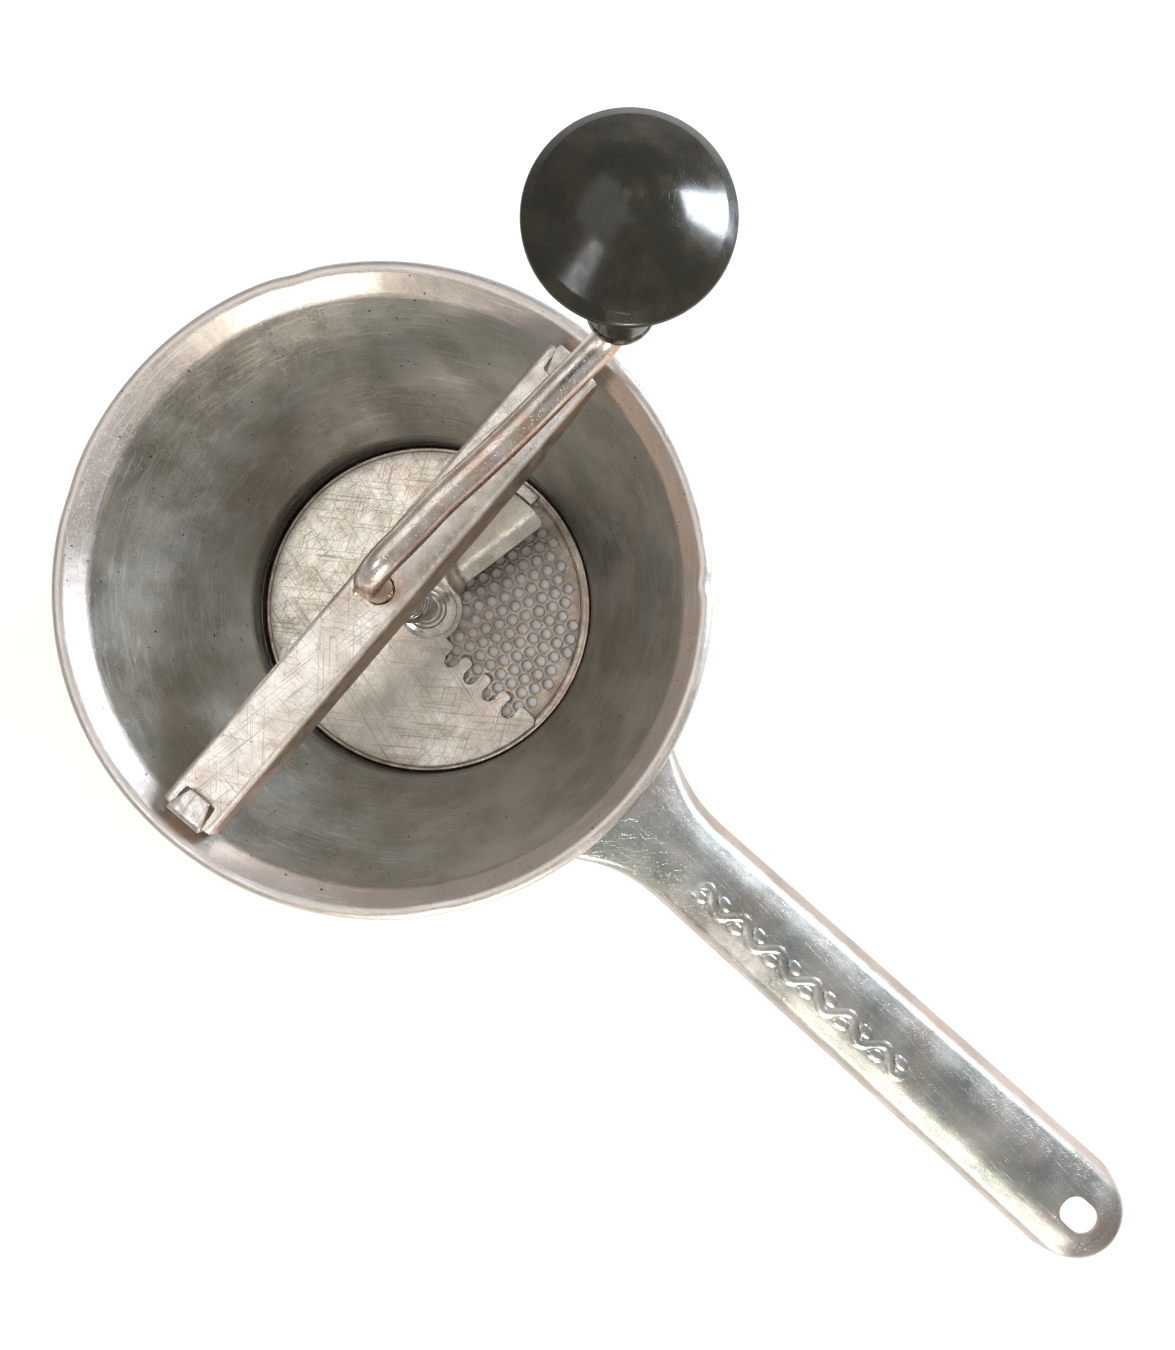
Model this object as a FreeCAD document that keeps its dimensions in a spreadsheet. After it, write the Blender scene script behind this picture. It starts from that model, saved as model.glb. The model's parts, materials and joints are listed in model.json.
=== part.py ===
import FreeCAD, Part
import math
import os
import Sketcher

# A hand-cranked rotary food mill: a conical tinned-steel bowl with a long pressed handle, a perforated
# straining disc in its throat, and a crank that turns a presser blade on the disc under spring pressure.
# Frame: origin on the crank's axis at the bottom of the throat, +Z up, +X along the handle. Millimetres.

Vector = FreeCAD.Vector
Y_AXIS = Vector(0, 1, 0)
Z_AXIS = Vector(0, 0, 1)

# How far a cutting outline stands beyond the material that it cuts.
PAST = 1.0

# ---------------------------------------------------------------- driving dimensions (mm and degrees)

DIMENSIONS = {
    # bowl
    "sheet": 0.9,
    "seat_radius": 58.6,
    "throat_radius": 63.3,
    "throat_height": 15.9,
    "cone_curve": 420.0,
    "bead_end_angle": -150.0,
    "rim_radius": 100.0,
    "rim_height": 84.0,
    "bead_radius": 2.6,
    "wire_radius": 1.62,
    "flare_length": 6.8,
    "flare_angle": 49.6,
    # handle
    "handle_top": 79.4,
    "handle_depth": 11.0,
    "handle_sheet": 1.1,
    "handle_root": 82.0,
    "neck_distance": 127.0,
    "neck_half_width": 14.6,
    "neck_curve": 60.0,
    "flare_half_angle": 30.0,
    "root_spread": 0.5,
    "tip_distance": 288.0,
    "tip_half_width": 15.9,
    "handle_shoulder": 7.0,
    "slot_distance": 286.5,
    "slot_length": 12.7,
    "slot_width": 9.4,
    # straining disc
    "disc_radius": 62.9,
    "disc_sheet": 1.0,
    "disc_bore": 3.3,
    "hole_radius": 2.0,
    "hole_pitch": 5.4,
    "hole_inner_limit": 9.0,
    "hole_outer_limit": 56.5,
    "disc_groove": 59.6,
    "groove_radius": 0.5,
    "groove_lift": 0.2,
    # bridge and its lugs
    "bridge_top": 89.9,
    "bridge_width": 18.5,
    "bridge_half_length": 88.3,
    "bridge_sheet": 1.3,
    "flange_depth": 13.5,
    "flange_end_depth": 6.5,
    "flange_straight": 52.0,
    "flange_curve": 130.0,
    "bridge_shoulder": 1.9,
    "bridge_inner_round": 0.6,
    "bridge_hole": 4.7,
    "notch_width": 10.6,
    "notch_depth": 7.1,
    "bridge_turn": 1.5,
    "lug_width": 12.2,
    "lug_tip_width": 7.3,
    "lug_sheet": 1.3,
    "lug_back": 90.6,
    "lug_tip": 81.0,
    "lug_foot": 66.0,
    "lug_foot_back": 85.6,
    "lug_bend_height": 81.6,
    "lug_outer_bend": 2.4,
    "lug_inner_bend": 1.1,
    # crank
    "rod_radius": 4.4,
    "arm_height": 111.9,
    "throw": 98.9,
    "bend_radius": 11.0,
    "crank_turn": 86.5,
    "stub_radius": 3.0,
    "stub_foot": 0.7,
    "spindle_radius": 3.2,
    "spindle_shoulder": 125.2,
    "spindle_top": 171.0,
    "clip_groove_depth": 0.6,
    "clip_play": 0.35,
    "pin_radius": 1.2,
    "stop_pin_proud": 2.6,
    "spring_pin_proud": 2.2,
    "stop_pin_height": 91.8,
    "stop_pin_turn": 131.0,
    "spring_pin_height": 36.4,
    "hub_pin_height": 7.8,
    # presser blade and hub
    "blade_radius": 61.0,
    "blade_height": 2.15,
    "blade_sheet": 1.2,
    "blade_turn": -11.0,
    "hub_pad_radius": 13.4,
    "trailing_edge": -3.6,
    "finger_pitch": 9.8,
    "finger_first": 20.2,
    "finger_slot_width": 4.6,
    "finger_slot_depth": 7.8,
    "finger_slots": 4,
    "wing_fold": 25.0,
    "wing_inner": 14.0,
    "wing_outer": 55.4,
    "ring_inner": 56.6,
    "wing_rise": 11.0,
    "wing_lip_back": 3.2,
    "wing_lip_front": 2.6,
    "wing_lip_dip": 0.5,
    "window_front": 6.6,
    "hub_radius": 11.25,
    "hub_boss_radius": 5.8,
    "hub_height": 6.2,
    "hub_rim": 0.9,
    "hub_dome_radius": 6.0,
    "hub_shoulder": 2.9,
    "hub_neck_radius": 0.9,
    "hub_chamfer": 0.5,
    # spring
    "spring_radius": 5.95,
    "spring_wire": 0.65,
    "spring_coils": 9.0,
    "washer_sheet": 1.0,
    "washer_radius": 7.6,
    # knob
    "knob_radius": 22.8,
    "knob_foot": 126.5,
    "knob_widest": 175.8,
    "knob_top": 186.6,
    "knob_nose": 20.0,
    "knob_waist_radius": 9.6,
    "knob_waist": 143.0,
    "knob_foot_radius": 12.2,
    "knob_foot_round": 1.2,
    "knob_foot_curve": 60.0,
    "knob_waist_curve": 34.0,
    "knob_flare_curve": 16.0,
    "knob_edge_round": 1.6,
    "knob_dome_curve": 70.0,
    "knob_washer_radius": 9.2,
    "sleeve_radius": 4.78,
    "sleeve_top": 168.0,
    "clip_cavity_radius": 6.2,
    "clip_cavity_top": 173.0,
    "clip_sheet": 0.9,
    "clip_radius": 5.2,
    "clip_gap": 4.4,
    # clearances
    "running_gap": 0.3,
    "fit_gap": 0.02,
    "weld_gap": 0.05,
}


class Size:
    """A length or an angle: its number, and the spreadsheet formula that gives it."""

    def __init__(self, value, formula):
        self.value = value
        self.formula = formula

    def joined(self, other, sign, value):
        other_formula = other.formula if isinstance(other, Size) else repr(other)
        return Size(value, f"({self.formula} {sign} {other_formula})")

    def __add__(self, other):
        return self.joined(other, "+", self.value + number(other))

    def __sub__(self, other):
        return self.joined(other, "-", self.value - number(other))

    def __mul__(self, other):
        return self.joined(other, "*", self.value * number(other))

    def __truediv__(self, other):
        return self.joined(other, "/", self.value / number(other))

    def __neg__(self):
        return self * -1.0


def number(size):
    return size.value if isinstance(size, Size) else float(size)


def sine(angle):
    return Size(math.sin(math.radians(angle.value)), f"sin({angle.formula})")


def cosine(angle):
    return Size(math.cos(math.radians(angle.value)), f"cos({angle.formula})")


def root(size):
    return Size(math.sqrt(size.value), f"sqrt({size.formula})")


class SizeTable:
    """Each driving dimension as an attribute, read back from the spreadsheet."""

    def __init__(self, sheet):
        for name in DIMENSIONS:
            setattr(self, name, Size(float(sheet.get(name)), f"{sheet.Name}.{name}"))


doc = FreeCAD.newDocument("food_mill")


def fill_sheet():
    sheet = doc.addObject("Spreadsheet::Sheet", "Sizes")
    for row, (name, value) in enumerate(DIMENSIONS.items(), start=1):
        sheet.set(f"A{row}", name)
        sheet.set(f"B{row}", str(value))
        sheet.setAlias(f"B{row}", name)
    doc.recompute()
    return SizeTable(sheet)


dim = fill_sheet()


# ---------------------------------------------------------------- helpers for sketches and features


def bind(obj, prop, size):
    """Drive one property from the sheet, or set it when it is a plain number."""
    if isinstance(size, Size):
        obj.setExpression(prop, size.formula)
    else:
        setattr(obj, prop, size)


def new_body(label):
    body = doc.addObject("PartDesign::Body", label)
    body.Label = label
    return body


def new_sketch(body, plane, offset=0.0, turn=None):
    """A sketch on one of the body's origin planes, moved along its normal and turned if asked."""
    sketch = body.newObject("Sketcher::SketchObject", f"{body.Name}_sketch")
    support = [item for item in body.Origin.OriginFeatures if item.Role == plane][0]
    sketch.AttachmentSupport = [(support, "")]
    sketch.MapMode = "FlatFace"
    normal = Z_AXIS
    if turn is not None:
        axis, angle = turn
        rotation = FreeCAD.Rotation(axis, number(angle))
        sketch.AttachmentOffset = FreeCAD.Placement(Vector(0, 0, 0), rotation)
        normal = rotation.multVec(Z_AXIS)
    if isinstance(offset, Size):
        for side, share in zip("xyz", normal):
            if abs(share) > 1e-9:
                sketch.setExpression(f"AttachmentOffset.Base.{side}", (offset * share).formula)
    return sketch


def place_point(sketch, edge, end, x, y):
    """Hold one end of an edge, or a circle's centre, at x and y."""
    for kind, axis_line, size in (("DistanceX", -2, x), ("DistanceY", -1, y)):
        if abs(number(size)) < 1e-9:
            sketch.addConstraint(Sketcher.Constraint("PointOnObject", edge, end, axis_line))
            continue
        row = sketch.addConstraint(Sketcher.Constraint(kind, -1, 1, edge, end, number(size)))
        if isinstance(size, Size):
            sketch.setExpression(f"Constraints[{row}]", size.formula)


def hold_radius(sketch, edge, radius):
    row = sketch.addConstraint(Sketcher.Constraint("Radius", edge, number(radius)))
    if isinstance(radius, Size):
        sketch.setExpression(f"Constraints[{row}]", radius.formula)


def arc_range(centre, start, end, radius):
    first = math.atan2(start.y - centre.y, start.x - centre.x)
    last = math.atan2(end.y - centre.y, end.x - centre.x)
    if radius < 0:
        first, last = last, first
    if last < first:
        last += 2.0 * math.pi
    return first, last


def draw_outline(sketch, corners, closed=True):
    """Lines and arcs through the corners. A corner is (x, y), or (x, y, radius) when an arc leaves it.

    A positive radius turns the arc to the left and a negative one to the right.
    """
    first = sketch.GeometryCount
    edges = []
    points = [Vector(number(corner[0]), number(corner[1]), 0) for corner in corners]
    count = len(corners) if closed else len(corners) - 1
    for index in range(count):
        start = points[index]
        end = points[(index + 1) % len(corners)]
        if len(corners[index]) == 3:
            radius = number(corners[index][2])
            edge = sketch.addGeometry(circle_arc(start, end, radius), False)
            ends = (1, 2) if radius > 0 else (2, 1)
        else:
            edge = sketch.addGeometry(Part.LineSegment(start, end), False)
            ends = (1, 2)
        edges.append((edge, ends))
    for index, (edge, ends) in enumerate(edges):
        if closed or index + 1 < count:
            following, following_ends = edges[(index + 1) % count]
            joint = Sketcher.Constraint("Coincident", edge, ends[1], following, following_ends[0])
            sketch.addConstraint(joint)
        place_point(sketch, edge, ends[0], corners[index][0], corners[index][1])
        if len(corners[index]) == 3:
            radius = corners[index][2]
            hold_radius(sketch, edge, radius if number(radius) > 0 else -radius)
    if not closed:
        edge, ends = edges[-1]
        place_point(sketch, edge, ends[1], corners[-1][0], corners[-1][1])
    return first


def circle_arc(start, end, radius):
    """An arc of a circle for a sketch, the short way round from start to end."""
    middle = (start + end) * 0.5
    along = end - start
    half = along.Length * 0.5
    left = Vector(-along.y, along.x, 0).normalize()
    reach = math.sqrt(max(radius * radius - half * half, 0.0))
    centre = middle + left * math.copysign(reach, radius)
    circle = Part.Circle(centre, Z_AXIS, abs(radius))
    first, last = arc_range(centre, start, end, radius)
    return Part.ArcOfCircle(circle, first, last)


def draw_circle(sketch, x, y, radius):
    centre = Vector(number(x), number(y), 0)
    edge = sketch.addGeometry(Part.Circle(centre, Z_AXIS, number(radius)), False)
    place_point(sketch, edge, 3, x, y)
    hold_radius(sketch, edge, radius)
    return edge


def rectangle(left, bottom, right, top):
    return [(left, bottom), (right, bottom), (right, top), (left, top)]


def rounded_slot(centre, length, width):
    """A slot along x, centred on (centre, 0), with half-round ends drawn as quarter arcs."""
    radius = width / 2.0
    inner = centre - length / 2.0 + radius
    outer = centre + length / 2.0 - radius
    return [
        (inner, -radius),
        (outer, -radius, radius),
        (outer + radius, 0.0, radius),
        (outer, radius),
        (inner, radius, radius),
        (inner - radius, 0.0, radius),
    ]


def pad(body, sketch, length, both_ways=False, backwards=False):
    feature = body.newObject("PartDesign::Pad", f"{body.Name}_pad")
    feature.Profile = sketch
    bind(feature, "Length", length)
    if both_ways:
        feature.SideType = "Symmetric"
    feature.Reversed = backwards
    body.Tip = feature
    return feature


def pocket(body, sketch, length, both_ways=False, backwards=False):
    """Cut the sketch's outline out of the body, and make sure that it cut something."""
    doc.recompute()
    before = body.Tip.Shape.Volume
    feature = body.newObject("PartDesign::Pocket", f"{body.Name}_pocket")
    feature.Profile = sketch
    bind(feature, "Length", length)
    if both_ways:
        feature.SideType = "Symmetric"
    feature.Reversed = backwards
    body.Tip = feature
    doc.recompute()
    if not feature.Shape.Volume < before - 1e-6:
        raise RuntimeError(f"{feature.Label} cuts nothing")
    return feature


def turned(body, sketch, kind="PartDesign::Revolution"):
    """A full turn of the sketch about its own vertical axis, added or, as a Groove, cut away."""
    feature = body.newObject(kind, f"{body.Name}_turned")
    feature.Profile = sketch
    feature.ReferenceAxis = (sketch, ["V_Axis"])
    feature.Angle = 360.0
    body.Tip = feature
    return feature


def fillet(body, radius, wanted):
    """Round the edges of the body for which wanted(edge) is true."""
    doc.recompute()
    base = body.Tip
    names = [f"Edge{row}" for row, edge in enumerate(base.Shape.Edges, start=1) if wanted(edge)]
    if not names:
        raise RuntimeError(f"{body.Label} has no edge to round")
    feature = body.newObject("PartDesign::Fillet", f"{body.Name}_fillet")
    feature.Base = (base, names)
    bind(feature, "Radius", radius)
    body.Tip = feature
    return feature


def ring_body(label, outer, inner, foot, height):
    """A flat ring or a tube round the body's own vertical axis."""
    body = new_body(label)
    sketch = new_sketch(body, "XY_Plane", offset=foot)
    draw_circle(sketch, 0.0, 0.0, outer)
    draw_circle(sketch, 0.0, 0.0, inner)
    pad(body, sketch, height)
    return body


def turn_about_z(angle, base=Vector(0, 0, 0)):
    return FreeCAD.Placement(base, FreeCAD.Rotation(Z_AXIS, number(angle)))


def crank_end():
    """Where the knob's spindle stands, seen from above."""
    angle = math.radians(dim.crank_turn.value)
    return Vector(dim.throw.value * math.cos(angle), dim.throw.value * math.sin(angle), 0)


# ---------------------------------------------------------------- bowl, rim wire


def bead_point(radius, angle):
    """A point of a circle round the rim wire, at an angle in degrees above the outward direction."""
    bead_axis = dim.rim_radius - dim.bead_radius
    if isinstance(angle, Size):
        return bead_axis - radius * sine(angle), dim.rim_height + radius * cosine(angle)
    across = math.cos(math.radians(angle))
    up = math.sin(math.radians(angle))
    return bead_axis + radius * across, dim.rim_height + radius * up


def crease_point(radius):
    """Where the cone meets the flare, on the side of the sheet this far from the bead's axis."""
    across, up = bead_point(radius, dim.flare_angle)
    run = dim.flare_length * cosine(dim.flare_angle)
    rise = dim.flare_length * sine(dim.flare_angle)
    return across - run, up - rise


def outer_wall(gap):
    """The outside of the throat's top and of the cone's top, a gap away from the sheet.

    The shares of the sheet's thickness keep the cone's wall as thick as the sheet at its slope.
    """
    throat = (dim.throat_radius + dim.sheet + gap, dim.throat_height - dim.sheet * 0.25)
    crease_across, crease_up = crease_point(dim.bead_radius)
    crease = (crease_across + dim.sheet * 0.9 + gap, crease_up - dim.sheet * 0.45)
    return throat, crease


def make_bowl():
    """One spun sheet: inward seat lip, throat, cone, flare and the bead rolled round the wire."""
    body = new_body("bowl")
    sketch = new_sketch(body, "XZ_Plane")
    throat, crease = outer_wall(0.0)
    inside = dim.bead_radius - dim.sheet
    rolled_end = dim.bead_end_angle.value
    inner_crease = crease_point(dim.bead_radius)
    corners = [
        (dim.seat_radius, 0.0),
        (dim.throat_radius + dim.sheet, 0.0),
        throat + (dim.cone_curve,),
        crease,
        bead_point(inside, dim.flare_angle) + (-inside,),
        bead_point(inside, 0.0) + (-inside,),
        bead_point(inside, rolled_end),
        bead_point(dim.bead_radius, rolled_end) + (dim.bead_radius,),
        bead_point(dim.bead_radius, 0.0) + (dim.bead_radius,),
        bead_point(dim.bead_radius, dim.flare_angle),
        inner_crease + (-dim.cone_curve,),
        (dim.throat_radius, dim.throat_height),
        (dim.throat_radius, dim.sheet),
        (dim.seat_radius, dim.sheet),
    ]
    draw_outline(sketch, corners)
    turned(body, sketch)
    return body


def make_rim_wire():
    """Steel wire closed inside the rolled bead."""
    wire = doc.addObject("Part::Torus", "rim_wire")
    wire.Label = "rim_wire"
    bind(wire, "Radius1", dim.rim_radius - dim.bead_radius)
    bind(wire, "Radius2", dim.wire_radius)
    wire.setExpression("Placement.Base.z", dim.rim_height.formula)
    return wire


# ---------------------------------------------------------------- handle


def handle_outline():
    """The handle's plan: a flared root, a slightly widening grip and a round tip."""
    sweep_sine = sine(dim.flare_half_angle)
    sweep_cosine = cosine(dim.flare_half_angle)
    flare_x = dim.neck_distance - dim.neck_curve * sweep_sine
    flare_y = dim.neck_half_width + dim.neck_curve - dim.neck_curve * sweep_cosine
    root_y = flare_y + (flare_x - dim.handle_root) * dim.root_spread
    tip = dim.tip_distance
    half = dim.tip_half_width
    return [
        (dim.handle_root, -root_y),
        (flare_x, -flare_y, -dim.neck_curve),
        (dim.neck_distance, -dim.neck_half_width),
        (tip, -half, half),
        (tip + half, 0.0, half),
        (tip, half),
        (dim.neck_distance, dim.neck_half_width, -dim.neck_curve),
        (flare_x, flare_y),
        (dim.handle_root, root_y),
    ]


def make_handle():
    """Pressed sheet channel, crowned on top and open below, welded to the cone under the bead."""
    body = new_body("handle")
    sketch = new_sketch(body, "XY_Plane", offset=dim.handle_top - dim.handle_depth)
    draw_outline(sketch, handle_outline())
    pad(body, sketch, dim.handle_depth)

    def on_crown(edge):
        middle = edge.valueAt((edge.FirstParameter + edge.LastParameter) / 2.0)
        at_top = abs(edge.BoundBox.ZMin - dim.handle_top.value) < 1e-6
        at_root = abs(middle.x - dim.handle_root.value) < 1e-6
        return at_top and not at_root

    fillet(body, dim.handle_shoulder, on_crown)
    doc.recompute()
    base = body.Tip
    open_faces = []
    for row, face in enumerate(base.Shape.Faces, start=1):
        box = face.BoundBox
        below = abs(box.ZMax - (dim.handle_top.value - dim.handle_depth.value)) < 1e-6
        behind = abs(box.XMax - dim.handle_root.value) < 1e-6
        if below or behind:
            open_faces.append(f"Face{row}")
    shell = body.newObject("PartDesign::Thickness", "handle_shell")
    shell.Base = (base, open_faces)
    bind(shell, "Value", dim.handle_sheet)
    shell.Reversed = True
    shell.Join = 0
    body.Tip = shell

    slot = new_sketch(body, "XY_Plane", offset=dim.handle_top + PAST)
    draw_outline(slot, rounded_slot(dim.slot_distance, dim.slot_length, dim.slot_width))
    pocket(body, slot, dim.handle_depth + 2.0 * PAST)

    throat, crease = outer_wall(dim.weld_gap)
    fit = new_sketch(body, "XZ_Plane")
    corners = [
        (0.0, throat[1]),
        throat + (dim.cone_curve,),
        crease,
        (crease[0], dim.rim_height),
        (0.0, dim.rim_height),
    ]
    draw_outline(fit, corners)
    turned(body, fit, "PartDesign::Groove")
    return body


# ---------------------------------------------------------------- straining disc


def hole_centres():
    """Staggered rows of holes between the plain middle and the plain outer band."""
    pitch = dim.hole_pitch.value
    row_step = pitch * math.sqrt(3.0) / 2.0
    reach = int(dim.hole_outer_limit.value / row_step) + 1
    for row in range(-reach, reach + 1):
        stagger = pitch / 2.0 if row % 2 else 0.0
        for column in range(-reach - 1, reach + 2):
            x = column * pitch + stagger
            y = row * row_step
            distance = math.hypot(x, y)
            if dim.hole_inner_limit.value < distance < dim.hole_outer_limit.value:
                yield Vector(x, y, 0)


def make_straining_disc():
    """Punched flat disc that lies on the seat lip, with a pressed groove in its plain outer band."""
    blank = doc.addObject("Part::Cylinder", "disc_blank")
    bind(blank, "Radius", dim.disc_radius)
    bind(blank, "Height", dim.disc_sheet)
    blank.setExpression("Placement.Base.z", dim.sheet.formula)

    punches = doc.addObject("Part::Feature", "disc_punches")
    depth = dim.disc_sheet.value + 2.0 * PAST
    tools = [Part.makeCylinder(dim.disc_bore.value, depth)]
    tools += [Part.makeCylinder(dim.hole_radius.value, depth, centre) for centre in hole_centres()]
    punches.Shape = Part.makeCompound(tools)
    punches.Placement = FreeCAD.Placement(Vector(0, 0, dim.sheet.value - PAST), FreeCAD.Rotation())

    punched = doc.addObject("Part::Cut", "disc_punched")
    punched.Base = blank
    punched.Tool = punches

    groove = doc.addObject("Part::Torus", "disc_groove")
    bind(groove, "Radius1", dim.disc_groove)
    bind(groove, "Radius2", dim.groove_radius)
    groove_height = dim.sheet + dim.disc_sheet + dim.groove_lift
    groove.setExpression("Placement.Base.z", groove_height.formula)

    disc = doc.addObject("Part::Cut", "straining_disc")
    disc.Label = "straining_disc"
    disc.Base = punched
    disc.Tool = groove
    return disc


# ---------------------------------------------------------------- bridge and lugs


def make_bridge():
    """Channel bar across the bowl that carries the crank's shaft and holds the spring down."""
    body = new_body("bridge")
    half = dim.bridge_width / 2.0
    inner = half - dim.bridge_sheet
    top = dim.bridge_top
    foot = top - dim.flange_depth
    section = new_sketch(body, "XZ_Plane")
    corners = [
        (-half, foot),
        (-inner, foot),
        (-inner, top - dim.bridge_sheet),
        (inner, top - dim.bridge_sheet),
        (inner, foot),
        (half, foot),
        (half, top),
        (-half, top),
    ]
    draw_outline(section, corners)
    pad(body, section, dim.bridge_half_length * 2.0, both_ways=True)

    def along_at(edge, x, z):
        box = edge.BoundBox
        along = box.YLength > dim.bridge_half_length.value
        return along and abs(abs(box.XMin) - x) < 1e-4 and abs(box.ZMin - z) < 1e-4

    fillet(body, dim.bridge_shoulder, lambda edge: along_at(edge, half.value, top.value))
    inner_top = (top - dim.bridge_sheet).value
    fillet(body, dim.bridge_inner_round, lambda edge: along_at(edge, inner.value, inner_top))

    openings = new_sketch(body, "XY_Plane", offset=top + PAST)
    draw_circle(openings, 0.0, 0.0, dim.bridge_hole)
    side = dim.notch_width / 2.0
    notch_root = dim.bridge_half_length - dim.notch_depth
    past_end = dim.bridge_half_length + PAST
    draw_outline(openings, rectangle(-side, notch_root, side, past_end))
    draw_outline(openings, rectangle(-side, -past_end, side, -notch_root))
    pocket(body, openings, dim.flange_depth + 2.0 * PAST)

    ends = new_sketch(body, "YZ_Plane")
    start = dim.flange_straight
    end = dim.bridge_half_length + PAST
    raised = top - dim.flange_end_depth
    below = foot - PAST
    curve = dim.flange_curve
    draw_outline(ends, [(start, foot, curve), (end, raised), (end, below), (start, below)])
    draw_outline(ends, [(-start, foot, -curve), (-end, raised), (-end, below), (-start, below)])
    pocket(body, ends, dim.bridge_width + 2.0 * PAST, both_ways=True)
    body.Placement = turn_about_z(dim.bridge_turn)
    return body


def make_bridge_lug(label, turn):
    """Bent strip welded inside the cone: its tongue hooks over the bridge's forked end."""
    body = new_body(label)
    profile = new_sketch(body, "YZ_Plane")
    under = dim.bridge_top + dim.weld_gap
    over = under + dim.lug_sheet
    back = dim.lug_back
    front = back - dim.lug_sheet
    outer_bend = dim.lug_outer_bend
    inner_bend = dim.lug_inner_bend
    corners = [
        (dim.lug_tip, under),
        (front - inner_bend, under, -inner_bend),
        (front, under - inner_bend),
        (front, dim.lug_bend_height),
        (dim.lug_foot_back - dim.lug_sheet, dim.lug_foot + 0.5),
        (dim.lug_foot_back, dim.lug_foot),
        (back, dim.lug_bend_height - 0.3),
        (back, over - outer_bend, outer_bend),
        (back - outer_bend, over),
        (dim.lug_tip, over),
    ]
    draw_outline(profile, corners)
    pad(body, profile, dim.lug_width, both_ways=True)

    taper = new_sketch(body, "XY_Plane", offset=over + PAST)
    wide = dim.lug_width / 2.0 + dim.fit_gap
    narrow = dim.lug_tip_width / 2.0
    shoulder = back - outer_bend
    tip = dim.lug_tip - PAST
    draw_outline(taper, [(wide, shoulder), (wide, tip), (narrow, tip)])
    draw_outline(taper, [(-wide, shoulder), (-wide, tip), (-narrow, tip)])
    pocket(body, taper, dim.lug_sheet + 2.0 * PAST)
    body.Placement = turn_about_z(dim.bridge_turn + turn)
    return body


# ---------------------------------------------------------------- crank and what is pinned to it


def make_crank_rod():
    """Round rod bent twice: shaft through the bridge, arm over the bowl, spindle under the knob."""
    body = new_body("crank_rod")
    bend = dim.bend_radius
    foot = dim.blade_height + dim.blade_sheet
    path = new_sketch(body, "XZ_Plane")
    corners = [
        (0.0, foot),
        (0.0, dim.arm_height - bend, -bend),
        (bend, dim.arm_height),
        (dim.throw - bend, dim.arm_height, bend),
        (dim.throw, dim.arm_height + bend),
        (dim.throw, dim.spindle_shoulder),
    ]
    draw_outline(path, corners, closed=False)
    section = new_sketch(body, "XY_Plane", offset=foot)
    draw_circle(section, 0.0, 0.0, dim.rod_radius)
    rod = body.newObject("PartDesign::AdditivePipe", "crank_rod_pipe")
    rod.Profile = section
    rod.Spine = path
    body.Tip = rod

    stub = new_sketch(body, "XY_Plane", offset=dim.stub_foot)
    draw_circle(stub, 0.0, 0.0, dim.stub_radius)
    pad(body, stub, foot - dim.stub_foot)

    spindle = new_sketch(body, "XY_Plane", offset=dim.spindle_shoulder)
    draw_circle(spindle, dim.throw, 0.0, dim.spindle_radius)
    pad(body, spindle, dim.spindle_top - dim.spindle_shoulder)

    groove_top = dim.sleeve_top + dim.clip_play + dim.clip_sheet + dim.clip_play / 2.0
    clip_groove = new_sketch(body, "XY_Plane", offset=groove_top)
    draw_circle(clip_groove, dim.throw, 0.0, dim.spindle_radius + PAST)
    draw_circle(clip_groove, dim.throw, 0.0, dim.spindle_radius - dim.clip_groove_depth)
    pocket(body, clip_groove, dim.clip_sheet + dim.clip_play)

    pins = (
        (dim.stop_pin_height, dim.stop_pin_turn),
        (dim.spring_pin_height, 0.0),
        (dim.hub_pin_height, 90.0),
    )
    for height, turn in pins:
        drilling = new_sketch(body, "XZ_Plane", turn=(Y_AXIS, turn))
        draw_circle(drilling, 0.0, height, dim.pin_radius)
        pocket(body, drilling, (dim.rod_radius + PAST) * 2.0, both_ways=True)
    body.Placement = turn_about_z(dim.crank_turn)
    return body


def make_pin(label, height, turn, start, end):
    """A cross pin through the shaft; start and end are distances from the shaft's axis along the pin."""
    body = new_body(label)
    sketch = new_sketch(body, "XZ_Plane", offset=-end, turn=(Y_AXIS, turn))
    draw_circle(sketch, 0.0, height, dim.pin_radius - dim.fit_gap)
    pad(body, sketch, end - start)
    body.Placement = turn_about_z(dim.crank_turn)
    return body


def make_stop_pin():
    """Keeps the shaft from dropping through the bridge; one end stands out of the rod and is peened."""
    sunk = dim.rod_radius - dim.fit_gap * 10.0
    proud = dim.rod_radius + dim.stop_pin_proud
    return make_pin("stop_pin", dim.stop_pin_height, dim.stop_pin_turn, -sunk, proud)


def make_spring_pin():
    """Carries the spring's lower washer on the shaft."""
    reach = dim.rod_radius + dim.spring_pin_proud
    return make_pin("spring_pin", dim.spring_pin_height, 0.0, -reach, reach)


def make_hub_pin():
    """Drives the hub from the shaft."""
    reach = dim.hub_boss_radius - dim.weld_gap * 2.0
    return make_pin("hub_pin", dim.hub_pin_height, 90.0, -reach, reach)


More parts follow.
